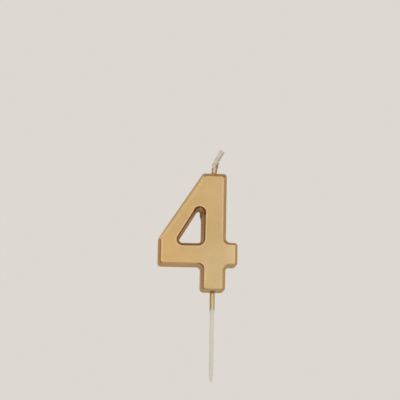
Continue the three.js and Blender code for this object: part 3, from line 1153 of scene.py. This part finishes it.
fray = fray_tree()
print("tree:", fray.name, "nodes:", len(fray.nodes))

# %% [markdown]
# ## The pick
# The pick is a moulded plastic rod. Its shaft is a hair oval where the two halves of the mould
# met, and ends in a blunt point. The candle was sprayed with the pick already in it, so a coat of
# lacquer runs down its first five millimetres and stops in a ragged edge. The coat has a real
# thickness here: each point of the shaft is pushed out by as much of the coat as covers it.

# %% The pick's profile and its coat
PICK_SIDES = 48
PICK_TAPER = 2.8
TIP_RADIUS = 0.25
COAT_THICKNESS = 0.07
COAT_END = -5.3
COAT_SAG = 0.65  # the coat runs further down at the sides
COAT_EDGE = 0.16
MOULD_LINE = 0.022
RAGGED_EDGE = [(0.13, 5, 1.0), (0.09, 11, 2.0), (0.05, 17, 0.0)]  # height, waves round it, start

NOSE_TURNS = (0.25, 0.55, 0.85, 1.15)  # round the blunt tip, in radians
TAPER_STEPS = 8
TAPER_SWELL = 0.9  # below 1 the taper swells early
SHAFT_STEP = 0.5
EDGE_FROM, EDGE_STEP, EDGE_ROWS = -6.0, 0.05, 33  # close rows, where the coat ends
ROOT_FROM, ROOT_STEP, ROOT_ROWS = -4.3, 0.25, 18


def evenly(start, step, count):
    return [start + step * k for k in range(count)]


def shaft_profile():
    """(radius, height) from the tip up to the foot of the numeral."""
    tip = -PICK_LENGTH
    nose = [(TIP_RADIUS * math.sin(a), tip + TIP_RADIUS * (1 - math.cos(a))) for a in NOSE_TURNS]
    radius, height = nose[-1]
    for t in (k / TAPER_STEPS for k in range(1, TAPER_STEPS + 1)):
        swell = math.sin(t * math.pi / 2) ** TAPER_SWELL
        nose.append((radius + (PICK_RADIUS - radius) * swell, height + (tip + PICK_TAPER - height) * t))
    first = math.ceil((tip + PICK_TAPER) / SHAFT_STEP) + 1
    shaft = evenly(first * SHAFT_STEP, SHAFT_STEP, round(EDGE_FROM / SHAFT_STEP) - first)
    edge = evenly(EDGE_FROM, EDGE_STEP, EDGE_ROWS)
    root = evenly(ROOT_FROM, ROOT_STEP, ROOT_ROWS)
    return nose + [(PICK_RADIUS, h) for h in shaft + edge + root if h > nose[-1][1]]


def coat_cover(height, angle):
    """How much of the coat lies at a place of the shaft. The angle is 0 towards +X."""
    ragged = sum(size * math.sin(waves * angle + start) for size, waves, start in RAGGED_EDGE)
    end = COAT_END - COAT_SAG * math.cos(angle) ** 2 + ragged
    share = within_one((height - end) / COAT_EDGE + 0.5)
    return share * share * (3 - 2 * share)


print("rings of the shaft:", len(shaft_profile()), "coat ends", -COAT_END, "mm below the numeral")


# %% Turn the pick
def turn_pick():
    skin = Skin("pick_coat")
    rings = []
    angles = [2 * math.pi * i / PICK_SIDES for i in range(PICK_SIDES)]
    for radius, height in shaft_profile() + shank_profile(0)[:-1]:
        in_wax = height > 0
        covers = [0.0 if in_wax else coat_cover(height, a) for a in angles]
        ridges = [0.0 if in_wax or i % (PICK_SIDES // 2) else MOULD_LINE for i in range(PICK_SIDES)]
        reaches = [radius + COAT_THICKNESS * c + r for c, r in zip(covers, ridges)]
        points = [(r * math.cos(a), r * math.sin(a), height) for r, a in zip(reaches, angles)]
        rings.append(skin.ring(points, [(c,) for c in covers]))
    for ring, following in zip(rings, rings[1:]):
        skin.strip(ring, following)
    skin.faces.append(tuple(rings[0]))
    skin.faces.append(tuple(rings[-1]))
    return skin.object("cake_pick")


cake_pick = turn_pick()

# %% [markdown]
# ## Gold lacquer
# The gold is a lacquer full of fine bronze flakes, sprayed in a thin coat. Seen close, the flakes
# differ in brightness and the coat has the slight pebbling of spray. Where the coat runs thin at
# an edge, or gathers in a corner, it turns brown; the same brown also carries painted shade on the
# bevels, in creases and along round sides. The same lacquer covers the numeral, the root of the wick
# and the top of the pick, so its colour, gloss and relief come from one shader group. Each material
# sets the amount of brown, lacquer and painted shade, for itself.

# %% The lacquer group
GOLD_LIGHT = srgb(219, 193, 149)
BROWN = srgb(126, 72, 40)
RED_BROWN = srgb(122, 36, 4)
EDGE_TINT = srgb(214, 176, 132)  # metal seen at a slant keeps its colour
METAL = 0.8
FLAKE_SIZE = 0.09
LACQUER_INPUTS = [
    ("Place", "Vector", None), ("Colour", "Color", GOLD_LIGHT), ("Brown", "Float", 0.0),
    ("Red Brown", "Float", 0.0), ("Flake Size", "Float", 0.0001), ("Pebble Size", "Float", 0.001)]


def lacquer_group():
    tree, given, result = group_tree(
        "gold_lacquer", "ShaderNodeTree", LACQUER_INPUTS,
        [("Colour", "Color"), ("Roughness", "Float"), ("Height", "Float")])
    place = given["Place"]
    cloud = noise(tree, place, 6 * MM, 3.0, seed=2.0)
    grain = noise(tree, place, 0.35 * MM, 3.0, seed=5.0)
    inputs = {"Vector": place, "Scale": one_over(tree, given["Flake Size"])}
    flakes = add(tree, "ShaderNodeTexVoronoi", inputs).outputs["Color"]
    flake = add(tree, "ShaderNodeSeparateColor", {0: flakes}).outputs
    tone = 1.0
    for value, sway in ((cloud, 0.16), (grain, 0.14), (flake[0], 0.12)):
        tone = swayed(tree, tone, sway, value)
    uneven = maths(tree, "MULTIPLY_ADD", grain, 0.5, 0.75)
    # The brown share is thin lacquer and painted shade, as each material sets it.
    thin_and_shade = maths(tree, "MULTIPLY", given["Brown"], uneven, clamp=True)
    colour = mix_colour(tree, thin_and_shade, scaled(tree, given["Colour"], tone), BROWN)
    colour = mix_colour(tree, given["Red Brown"], colour, RED_BROWN)
    rough = swayed(tree, 0.4, 0.18, cloud)
    for value, more in ((flake[1], 0.06), (thin_and_shade, 0.12)):
        rough = maths(tree, "MULTIPLY_ADD", value, more, rough)
    inputs = {"Vector": place, "Scale": one_over(tree, given["Pebble Size"]), "Detail": 1.0}
    pebble = add(tree, "ShaderNodeTexNoise", inputs).outputs["Fac"]
    relief = maths(tree, "MULTIPLY_ADD", flake[2], 0.12, pebble)
    for name, value in (("Colour", colour), ("Roughness", rough), ("Height", relief)):
        tree.links.new(value, result[name])
    return tree


lacquer = lacquer_group()
print("group:", lacquer.name, "nodes:", len(lacquer.nodes))

# %% [markdown]
# ## Traces of handling
# All three pieces have lain in a hand and in a box: a little dust clings here and there, and
# fingers have rubbed some places smoother than others. One group makes a mask of specks and a
# slow change of gloss, and each material takes as much of both as suits it.

# %% The handling group
HANDLING_INPUTS = [("Place", "Vector", None), ("Speck Size", "Float", 0.0003), ("Specks", "Float", 0.1)]


def handling_group():
    tree, given, result = group_tree(
        "handling", "ShaderNodeTree", HANDLING_INPUTS, [("Dust", "Float"), ("Rub", "Float")])
    place = given["Place"]
    inputs = {"Vector": place, "Scale": one_over(tree, given["Speck Size"])}
    specks = add(tree, "ShaderNodeTexVoronoi", inputs).outputs
    chosen = add(tree, "ShaderNodeSeparateColor", {0: specks["Color"]}).outputs[0]
    chosen = maths(tree, "LESS_THAN", chosen, given["Specks"])
    round_speck = between(tree, specks["Distance"], 0.32, 0.12)
    patches = between(tree, noise(tree, place, 4 * MM, 2.0, seed=9.0), 0.42, 0.66)
    tree.links.new(product(tree, chosen, round_speck, patches), result["Dust"])
    tree.links.new(noise(tree, place, 3 * MM, 3.0, seed=12.0), result["Rub"])
    return tree


handling = handling_group()
print("group:", handling.name, "nodes:", len(handling.nodes))


# %% Helpers for materials
def use_group(tree, group, **inputs):
    """Places a shader group. An input's name is written with _ for a space."""
    named = {name.replace("_", " "): value for name, value in inputs.items()}
    return add(tree, "ShaderNodeGroup", named, node_tree=group).outputs


def attribute(tree, name):
    return add(tree, "ShaderNodeAttribute", attribute_name=name).outputs["Fac"]


def levels(tree, value, stops):
    """Straight lines between stops, which are pairs of a value and the level there."""
    low, high = stops[0][0], stops[-1][0]
    share = between(tree, value, low, high, smooth=False)
    made = add(tree, "ShaderNodeValToRGB", {"Fac": share})
    points = made.color_ramp.elements
    for k, (at, level) in enumerate(stops):
        point = points[k] if k < 2 else points.new(1.0)
        point.position = (at - low) / (high - low)
        point.color = (level, level, level, 1.0)
    return made.outputs["Color"]


def layered(tree, colour, layers):
    """A colour with others over it. Each layer is a share, from 0 to 1, and a colour."""
    for share, over in layers:
        colour = mix_colour(tree, share, colour, over)
    return colour


def wire(tree, shader, colour, roughness, height, relief):
    """Feeds the Principled shader. relief is the height of the bumps in metres."""
    tree.links.new(colour, shader.inputs["Base Color"])
    tree.links.new(roughness, shader.inputs["Roughness"])
    bump = add(tree, "ShaderNodeBump", {"Height": height, "Distance": relief, "Strength": 1.0})
    tree.links.new(bump.outputs["Normal"], shader.inputs["Normal"])


print("helpers ready: use_group, attribute, levels, layered, wire")

# %% [markdown]
# ## The numeral's finish
# A coat of gold could be one colour, but it is the way lacquer runs, together with light and shade
# painted into it, that makes the cast look real. The numeral's own marks say where. Across the
# section the distance from the crease tells bevel from wall: just inside the crease the face gets a
# painted highlight, a pale lip; on the bevel the coat is browner, as thinner lacquer and painted shade;
# and an olive line of painted shade follows the outer edge. On the right the bevels turn a deeper gold,
# painted shade of the bevels that face right. The lists of levels below are pairs of a distance in
# millimetres and the strength there.

# %% What the numeral's mesh tells its material
# Brown on the outer bevels: painted shade, with thinner lacquer.
OUTER_BROWN = [(-0.1, 0.0), (0.05, 0.12), (0.5, 0.15), (0.9, 0.2), (1.3, 0.24), (1.8, 0.16),
               (3.0, 0.06), (7.6, 0.0)]
# Painted shade: an olive line along the outer edge of the bevel.
OLIVE_EDGE_SHADE = [(0.5, 0.0), (0.95, 0.6), (1.5, 0.6), (2.0, 0.12), (3.0, 0.0)]
# Painted highlight: a pale lip on the face just inside the crease.
PAINTED_HIGHLIGHT_LIP = [(-0.55, 0.0), (-0.33, 0.5), (-0.12, 0.5), (-0.02, 0.0)]
# Painted shade of the bevels that face right: a deeper gold.
RIGHT_BEVEL_SHADE = [(0.3, 0.0), (0.7, 0.65), (1.5, 0.65), (2.2, 0.0)]
# Brown deep in the counter: thin lacquer and painted shade in the hollow.
COUNTER_BROWN = [(0.0, 0.0), (0.1, 0.1), (0.45, 0.0), (0.9, 0.0), (1.2, 0.1), (4.0, 0.3),
                 (6.5, 0.3), (7.6, 0.0)]
ROSE_WALL = [(0.2, 0.0), (0.5, 0.5), (2.0, 0.5), (4.5, 0.0)]


class NumeralMarks:
    """The marks at each point of the numeral, and its place across and up, in millimetres."""

    def __init__(self, tree, place):
        self.place = place
        x, _, z = split(tree, place)
        self.x = in_millimetres(tree, x)
        self.z = in_millimetres(tree, z)
        self.crease = attribute(tree, "from_crease")
        self.hole = attribute(tree, "in_counter")
        self.outside = maths(tree, "SUBTRACT", 1.0, self.hole)
        self.thin_and_shade = attribute(tree, "thin_coat_and_shade")
        self.pooled_and_shade = attribute(tree, "pooled_and_shade")
        self.upper = maths(tree, "MULTIPLY_ADD", between(tree, self.z, 15, 19), 0.9, 0.1)


def brown_share(tree, at):
    """How far the coat is brown: on the bevels, as lacquer that thins and painted shade, and deep in the
    counter, as painted shade in the hollow.
    """
    outer = product(tree, levels(tree, at.crease, OUTER_BROWN), at.thin_and_shade)
    return mix_number(tree, at.hole, outer, levels(tree, at.crease, COUNTER_BROWN))


print("the bevel is brownest", max(OUTER_BROWN, key=lambda stop: stop[1])[0], "mm from the crease")

# %% [markdown]
# ## Where the lacquer gathered, and painted shade in creases and corners
# Round the counter, which the spray reaches badly, a dark red-brown line follows the crease: thin
# lacquer and painted shade in the hollow. It widens at both ends of the apex's arc. Lacquer has also
# gathered in some of the outer corners, with painted shade there, and a thin red-brown line runs along
# the bevels of the sides painted darker, as painted shade. A little has run off the wick, and round the
# pick's root the underside is painted copper, as painted shade where the pick meets the foot.

# %% Red-brown lines, pools and runs, with painted shade
# The dark red-brown line round the counter's crease: thin lacquer and painted shade in the hollow.
COUNTER_LINE = [(-0.04, 0.0), (0.06, 0.95), (0.4, 0.95), (0.62, 0.1), (3.0, 0.0)]
# Where the counter's line widens at the apex: gathered lacquer and painted shade.
GATHERED_AND_SHADE_LINE = [(-0.06, 0.0), (0.06, 0.9), (0.65, 0.85), (1.0, 0.1), (1.6, 0.12), (7.6, 0.14)]
# A red-brown line along the bevels of the sides painted darker: painted shade.
OUTER_LINE = [(0.0, 0.0), (0.25, 0.27), (0.55, 0.27), (0.85, 0.0)]
# Red-brown in the outer corners: gathered lacquer and painted shade.
POOL_AND_SHADE_SPREAD = [(-0.35, 0.0), (-0.05, 1.0), (0.3, 1.0), (0.8, 0.0)]
POOL_AND_SHADE_STRENGTH = 0.7
WICK_RUN = [(1.2, 0.3), (2.0, 0.0)]
WICK_RUN_MIDDLE = 0.3  # to the right of the wick's foot
# Painted shade: copper on the underside round the pick's root, where the pick meets the foot.
PICK_ROOT_SHADE = [(0.3, 0.0), (0.8, 0.4), (1.4, 0.8), (3.9, 0.9), (5.0, 0.0)]


def red_brown_share(tree, at):
    """How far the coat is red-brown: the most that any of the places gives."""
    pool = product(tree, at.pooled_and_shade, levels(tree, at.crease, POOL_AND_SHADE_SPREAD))
    most = product(tree, between(tree, pool, 0.3, 0.8), POOL_AND_SHADE_STRENGTH)
    beside_wick = between(tree, away_from(tree, at.x, WICK_RUN_MIDDLE), 0.9, 0.3)
    on_top = between(tree, at.z, HEIGHT - 1.3, HEIGHT - 0.7)
    for share in (
        product(tree, levels(tree, at.crease, COUNTER_LINE), at.hole, at.thin_and_shade),
        product(tree, levels(tree, at.crease, GATHERED_AND_SHADE_LINE), at.hole, between(tree, at.pooled_and_shade, 0.3, 0.6)),
        product(tree, levels(tree, at.crease, OUTER_LINE), at.thin_and_shade, at.outside),
        product(tree, levels(tree, at.crease, WICK_RUN), beside_wick, on_top),
    ):
        most = maths(tree, "MAXIMUM", most, share)
    return most


# Painted shade where the pick meets the foot: copper on the numeral's underside.
def pick_root_shade_share(tree, at):
    beside_pick = between(tree, away_from(tree, at.x, 0.0), 1.0, 0.45)
    return product(tree, levels(tree, at.crease, PICK_ROOT_SHADE), beside_pick, between(tree, at.z, 0.6, 0.1))


print("the counter's dark line is", round(COUNTER_LINE[2][0] - COUNTER_LINE[1][0], 2), "mm wide")

# %% [markdown]
# ## Gold, and the material as a whole
# The gold itself isn't even either. From left to right it turns from warm to light, and the arm is
# lighter still: painted light, as if from the right. The lower half is softer. Round the counter it is
# duller. In the counter the coat is so thin that the wax shows through, in a rose tone. All of these are
# layers over one another, then dust, then the bumps of the spray. The metal is set a little below full,
# so that the gold keeps its colour in a pale room.

# %% Material of the numeral
GOLD = srgb(198, 169, 120)
GOLD_WARM = srgb(207, 171, 117)
GOLD_SOFT = srgb(203, 178, 132)
GOLD_DULL = srgb(186, 160, 108)
GOLD_DEEP = srgb(208, 160, 90)
GOLD_OLIVE = srgb(130, 107, 74)
GOLD_ROSE = srgb(230, 190, 146)
COPPER = srgb(176, 98, 58)
DULL_MIDDLE = Vector((-6.5, FRONT, 20.0))
DULL_REACH = (11.0, 6.0)  # no duller beyond the first, fully dull within the second


def gold_colour(tree, at):
    """The gold of each place, before the browns come over it."""
    # Painted light, as if from the right: warm on the left, lighter to the right.
    to_right = between(tree, at.x, LEFT_END, STEM_RIGHT)
    low = between(tree, at.z, 0.7 * HEIGHT, 0.1 * HEIGHT)
    gold = mix_colour(tree, to_right, GOLD_WARM, mix_colour(tree, low, GOLD, GOLD_SOFT))
    # Painted light: the arm is lighter still.
    on_arm = between(tree, at.x, 0.7 * STEM_RIGHT, ARM_END)
    off_middle = in_millimetres(tree, vector_maths(tree, "DISTANCE", at.place, DULL_MIDDLE * MM))
    # Painted shade: the right-facing bevels turn a deeper gold.
    right_bevel = product(tree, levels(tree, at.crease, RIGHT_BEVEL_SHADE), between(tree, at.x, 2.4, 3.0))
    # The painted highlight of the pale lip: strongest on the sides painted darker and in the upper part.
    lit = maths(tree, "MAXIMUM", at.thin_and_shade, product(tree, at.upper, 0.8))
    below_top = between(tree, at.z, HEIGHT - 1.3, HEIGHT - 2.2)  # the top's crease has no lip
    # Sides with a full coat are those without painted shade: the ones facing the light.
    full_coat_and_lit = maths(tree, "SUBTRACT", 1.0, at.thin_and_shade, clamp=True)
    # Painted shade: the olive line at the outer edge, in the upper part and on the sides without other
    # painted shade.
    olive = product(tree, levels(tree, at.crease, OLIVE_EDGE_SHADE), at.upper, full_coat_and_lit, at.outside)
    return layered(tree, gold, [
        (product(tree, on_arm, 0.6), GOLD_LIGHT),
        (product(tree, between(tree, off_middle, *DULL_REACH), 0.3), GOLD_DULL),
        (right_bevel, GOLD_DEEP),
        (product(tree, levels(tree, at.crease, PAINTED_HIGHLIGHT_LIP), lit, below_top), GOLD_LIGHT),
        (olive, GOLD_OLIVE),
        (product(tree, levels(tree, at.crease, ROSE_WALL), at.hole), GOLD_ROSE),
        (pick_root_shade_share(tree, at), COPPER)])


def numeral_material():
    material, tree, shader, place = new_material("gold_lacquered_wax")
    at = NumeralMarks(tree, place)
    coat = use_group(tree, lacquer, Place=place, Colour=gold_colour(tree, at),
                     Brown=brown_share(tree, at), Red_Brown=red_brown_share(tree, at),
                     Flake_Size=FLAKE_SIZE * MM, Pebble_Size=0.8 * MM)
    traces = use_group(tree, handling, Place=place, Speck_Size=0.35 * MM, Specks=0.05)
    colour = mix_colour(tree, product(tree, traces["Dust"], 0.25), coat["Colour"], PALE)
    rough = maths(tree, "MULTIPLY_ADD", traces["Rub"], 0.1, coat["Roughness"])
    shader.inputs["Metallic"].default_value = METAL
    shader.inputs["Specular Tint"].default_value = EDGE_TINT
    shader.inputs["Coat Weight"].default_value = 0.12
    shader.inputs["Coat Roughness"].default_value = 0.25
    wire(tree, shader, colour, rough, coat["Height"], 0.006 * MM)
    return material


gold_lacquered_wax = numeral_material()
print("nodes in the numeral's material:", len(gold_lacquered_wax.node_tree.nodes))

# %% Dress the numeral
add_modifier(gold_numeral, cast_waves, {
    "Height": 0.06 * MM, "Length": 7 * MM, "Fine Height": 0.012 * MM, "Fine Length": 1.6 * MM,
    "Seed": 3.0, "Material": gold_lacquered_wax})
settle(gold_numeral)
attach(gold_numeral, "root")
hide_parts("number_body")
print("numeral finished, triangles:", sum(len(p.vertices) - 2 for p in gold_numeral.data.polygons))

# %% [markdown]
# ## The wick's finish
# Waxed cotton is a warm greenish white, slightly darker in one yarn than in the next, and every
# yarn has fine lines along it. The spray has turned the root gold and left a brown streak up its
# right side, and above that the wax has yellowed. The tree stored each point's height above the
# numeral, the place of the path beside it and its yarn, so the material can tell left from right.

# %% Helpers for a bare piece with a coat on it
DUST_ON_BARE = 0.2


def stretched(tree, place, lengths):
    """Object coordinates divided by a length along each axis, for a grain that has a direction."""
    return vector_maths(tree, "DIVIDE", place, lengths)


def wire_half_coated(tree, shader, share, bare, coat, traces, relief):
    """Feeds the shader of a bare piece with a share of lacquer on it. bare is the piece's own
    colour, roughness and height."""
    own_colour, own_roughness, own_height = bare
    colour = mix_colour(tree, share, own_colour, coat["Colour"])
    colour = mix_colour(tree, product(tree, traces["Dust"], DUST_ON_BARE), colour, PALE)
    rough = mix_number(tree, share, own_roughness, coat["Roughness"])
    height = mix_number(tree, share, own_height, coat["Height"])
    tree.links.new(product(tree, share, METAL), shader.inputs["Metallic"])
    wire(tree, shader, colour, rough, height, relief)


def let_light_in(shader, weight, reach, colour):
    """Wax and plastic let light in a little way. reach is in metres."""
    shader.inputs["Subsurface Weight"].default_value = weight
    shader.inputs["Subsurface Radius"].default_value = colour
    shader.inputs["Subsurface Scale"].default_value = reach


print("helpers ready: stretched, wire_half_coated, let_light_in")

# %% Material of the wick
COTTON = srgb(228, 222, 205)
COTTON_GREEN = srgb(215, 213, 188)
COTTON_BROWN = srgb(192, 158, 122)
STREAK = srgb(164, 130, 92)
GOLD_ROOT = 1.95
STREAK_TOP = 4.1
# The gold root is shaded by paint: its painted highlight, the palest line, lies a little left of its
# middle, and painted shade browns its round sides.
ROOT_MIDDLE = -0.12  # the root's palest line lies a little left of its middle


def cotton_colour(tree, above, across, patchy, fine_lines):
    """Waxed cotton, its yarns of slightly different tones, and the streak up its right side."""
    own = add(tree, "ShaderNodeTexWhiteNoise", {"W": attribute(tree, "yarn")}, noise_dimensions="1D")
    cotton = mix_colour(tree, between(tree, patchy, 0.4, 0.6), COTTON, COTTON_GREEN)
    shade = maths(tree, "MULTIPLY_ADD", own.outputs["Value"], 0.1, 0.9)
    cotton = scaled(tree, cotton, swayed(tree, shade, 0.15, fine_lines))
    ragged = swayed(tree, across, 1.2, patchy)
    upper = between(tree, above, STREAK_TOP, STREAK_TOP + 0.7)
    lower = between(tree, above, STREAK_TOP + 0.5, STREAK_TOP - 0.5)
    return layered(tree, cotton, [
        (product(tree, between(tree, ragged, -0.05, 0.4), upper, 0.55), COTTON_BROWN),
        (product(tree, between(tree, ragged, 0.05, 0.4), lower, 0.8), STREAK)])


def waxed_cotton_material():
    material, tree, shader, place = new_material("waxed_cotton")
    above = attribute(tree, "above_wax")
    across = in_millimetres(tree, split(tree, place)["X"])
    across = maths(tree, "SUBTRACT", across, attribute(tree, "path_x"))
    patchy = noise(tree, place, 0.9 * MM, 3.0, seed=1.0)
    fine_lines = noise(tree, stretched(tree, place, (0.3, 0.3, 4.0)), 0.12 * MM, 2.0, seed=6.0)
    cotton = cotton_colour(tree, above, across, patchy, fine_lines)
    gold_share = between(tree, swayed(tree, above, 0.8, patchy), GOLD_ROOT + 0.15, GOLD_ROOT - 0.15)
    # Painted shade: the gold root browns towards its round sides, away from its painted highlight.
    edges = between(tree, away_from(tree, across, ROOT_MIDDLE), 0.2, 0.6)
    coat = use_group(tree, lacquer, Place=place, Colour=GOLD_LIGHT,
                     Brown=maths(tree, "MULTIPLY_ADD", edges, 0.6, 0.05),
                     Flake_Size=FLAKE_SIZE * MM, Pebble_Size=0.3 * MM)
    traces = use_group(tree, handling, Place=place, Speck_Size=0.3 * MM, Specks=0.06)
    soft = maths(tree, "MULTIPLY_ADD", traces["Rub"], 0.2, 0.45)
    bare = (cotton, soft, fine_lines)
    wire_half_coated(tree, shader, gold_share, bare, coat, traces, 0.02 * MM)
    let_light_in(shader, 0.12, 0.4 * MM, (1.0, 0.9, 0.7))
    return material


waxed_cotton = waxed_cotton_material()
print("nodes in the wick's material:", len(waxed_cotton.node_tree.nodes))

# %% Dress the wick
CUT_END = 0.45  # the fibres are denser over this length
tip_height = WICK_HIGH.z - HEIGHT - CUT_END
add_modifier(plaited_wick, plait, {
    "Strands": 3, "Yarns": 4, "Yarn Radius": 0.21 * MM, "Yarn Offset": 0.21 * MM, "Swing": 0.44 * MM,
    "Depth": 0.38 * MM, "Pitch": 4.2 * MM, "Twist": 2.6 * MM, "Step": 0.12 * MM,
    "Buried": WICK_IN_WAX * MM, "Wax Radius": 0.78 * MM, "Root Radius": 0.82 * MM,
    "Root Length": 2.2 * MM, "Bulge": 0.36, "Bulge Height": 3.0 * MM, "Bulge Reach": 1.5 * MM,
    "Material": waxed_cotton})
add_modifier(plaited_wick, fray, {
    "Density": 4e5, "End Density": 5e6, "From Height": 2.2, "End Height": tip_height,
    "Length": 0.35 * MM, "Radius": 0.012 * MM, "Seed": 7, "Material": waxed_cotton})
settle(plaited_wick)
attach(plaited_wick, "root")
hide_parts("wick")
print("wick finished, triangles:", sum(len(p.vertices) - 2 for p in plaited_wick.data.polygons))

# %% [markdown]
# ## The pick's finish
# Below the lacquer the pick is off-white plastic with a satin skin: faint flow lines run along it
# and the ejected rod has picked up a few dull scuffs. Where the coat begins, metal gold takes
# over. Just under the foot the gold is painted dark red, as painted shade where the pick meets the
# numeral, and it is painted browner along both sides, as painted shade of the round rod.

# %% Material of the pick
PLASTIC = srgb(222, 219, 208)
PLASTIC_WARM = srgb(227, 220, 205)


def pick_plastic_material():
    material, tree, shader, place = new_material("pick_plastic")
    x, _, z = split(tree, place)
    cloud = noise(tree, stretched(tree, place, (1.0, 1.0, 5.0)), 1.2 * MM, 2.0, seed=1.0)
    flow = noise(tree, stretched(tree, place, (0.4, 0.4, 12.0)), 0.5 * MM, 2.0, seed=3.0)
    plastic = mix_colour(tree, between(tree, cloud, 0.35, 0.65), PLASTIC, PLASTIC_WARM)
    plastic = scaled(tree, plastic, maths(tree, "MULTIPLY_ADD", flow, 0.1, 0.95))
    # Painted shade: the gold browns along both sides of the round rod, leaving a painted highlight down its
    # middle.
    sides = between(tree, away_from(tree, x, 0.0), 0.2 * MM, 0.65 * MM)
    # Painted shade: dark red on the pick just under the foot.
    under_foot_shade = between(tree, z, -0.6 * MM, -0.2 * MM)
    coat = use_group(tree, lacquer, Place=place, Colour=GOLD_LIGHT,
                     Brown=maths(tree, "MULTIPLY_ADD", sides, 0.6, 0.02),
                     Red_Brown=product(tree, under_foot_shade, 0.9),
                     Flake_Size=FLAKE_SIZE * MM, Pebble_Size=0.5 * MM)
    traces = use_group(tree, handling, Place=place, Speck_Size=0.3 * MM, Specks=0.08)
    satin = maths(tree, "MULTIPLY_ADD", traces["Rub"], 0.25, 0.28)
    bare = (plastic, satin, flow)
    wire_half_coated(tree, shader, attribute(tree, "pick_coat"), bare, coat, traces, 0.005 * MM)
    let_light_in(shader, 0.1, 0.3 * MM, (1.0, 0.9, 0.8))
    return material


cake_pick.data.materials.append(pick_plastic_material())
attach(cake_pick, "root")
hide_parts("pick")
print("pick finished, triangles:", sum(len(p.vertices) - 2 for p in cake_pick.data.polygons))
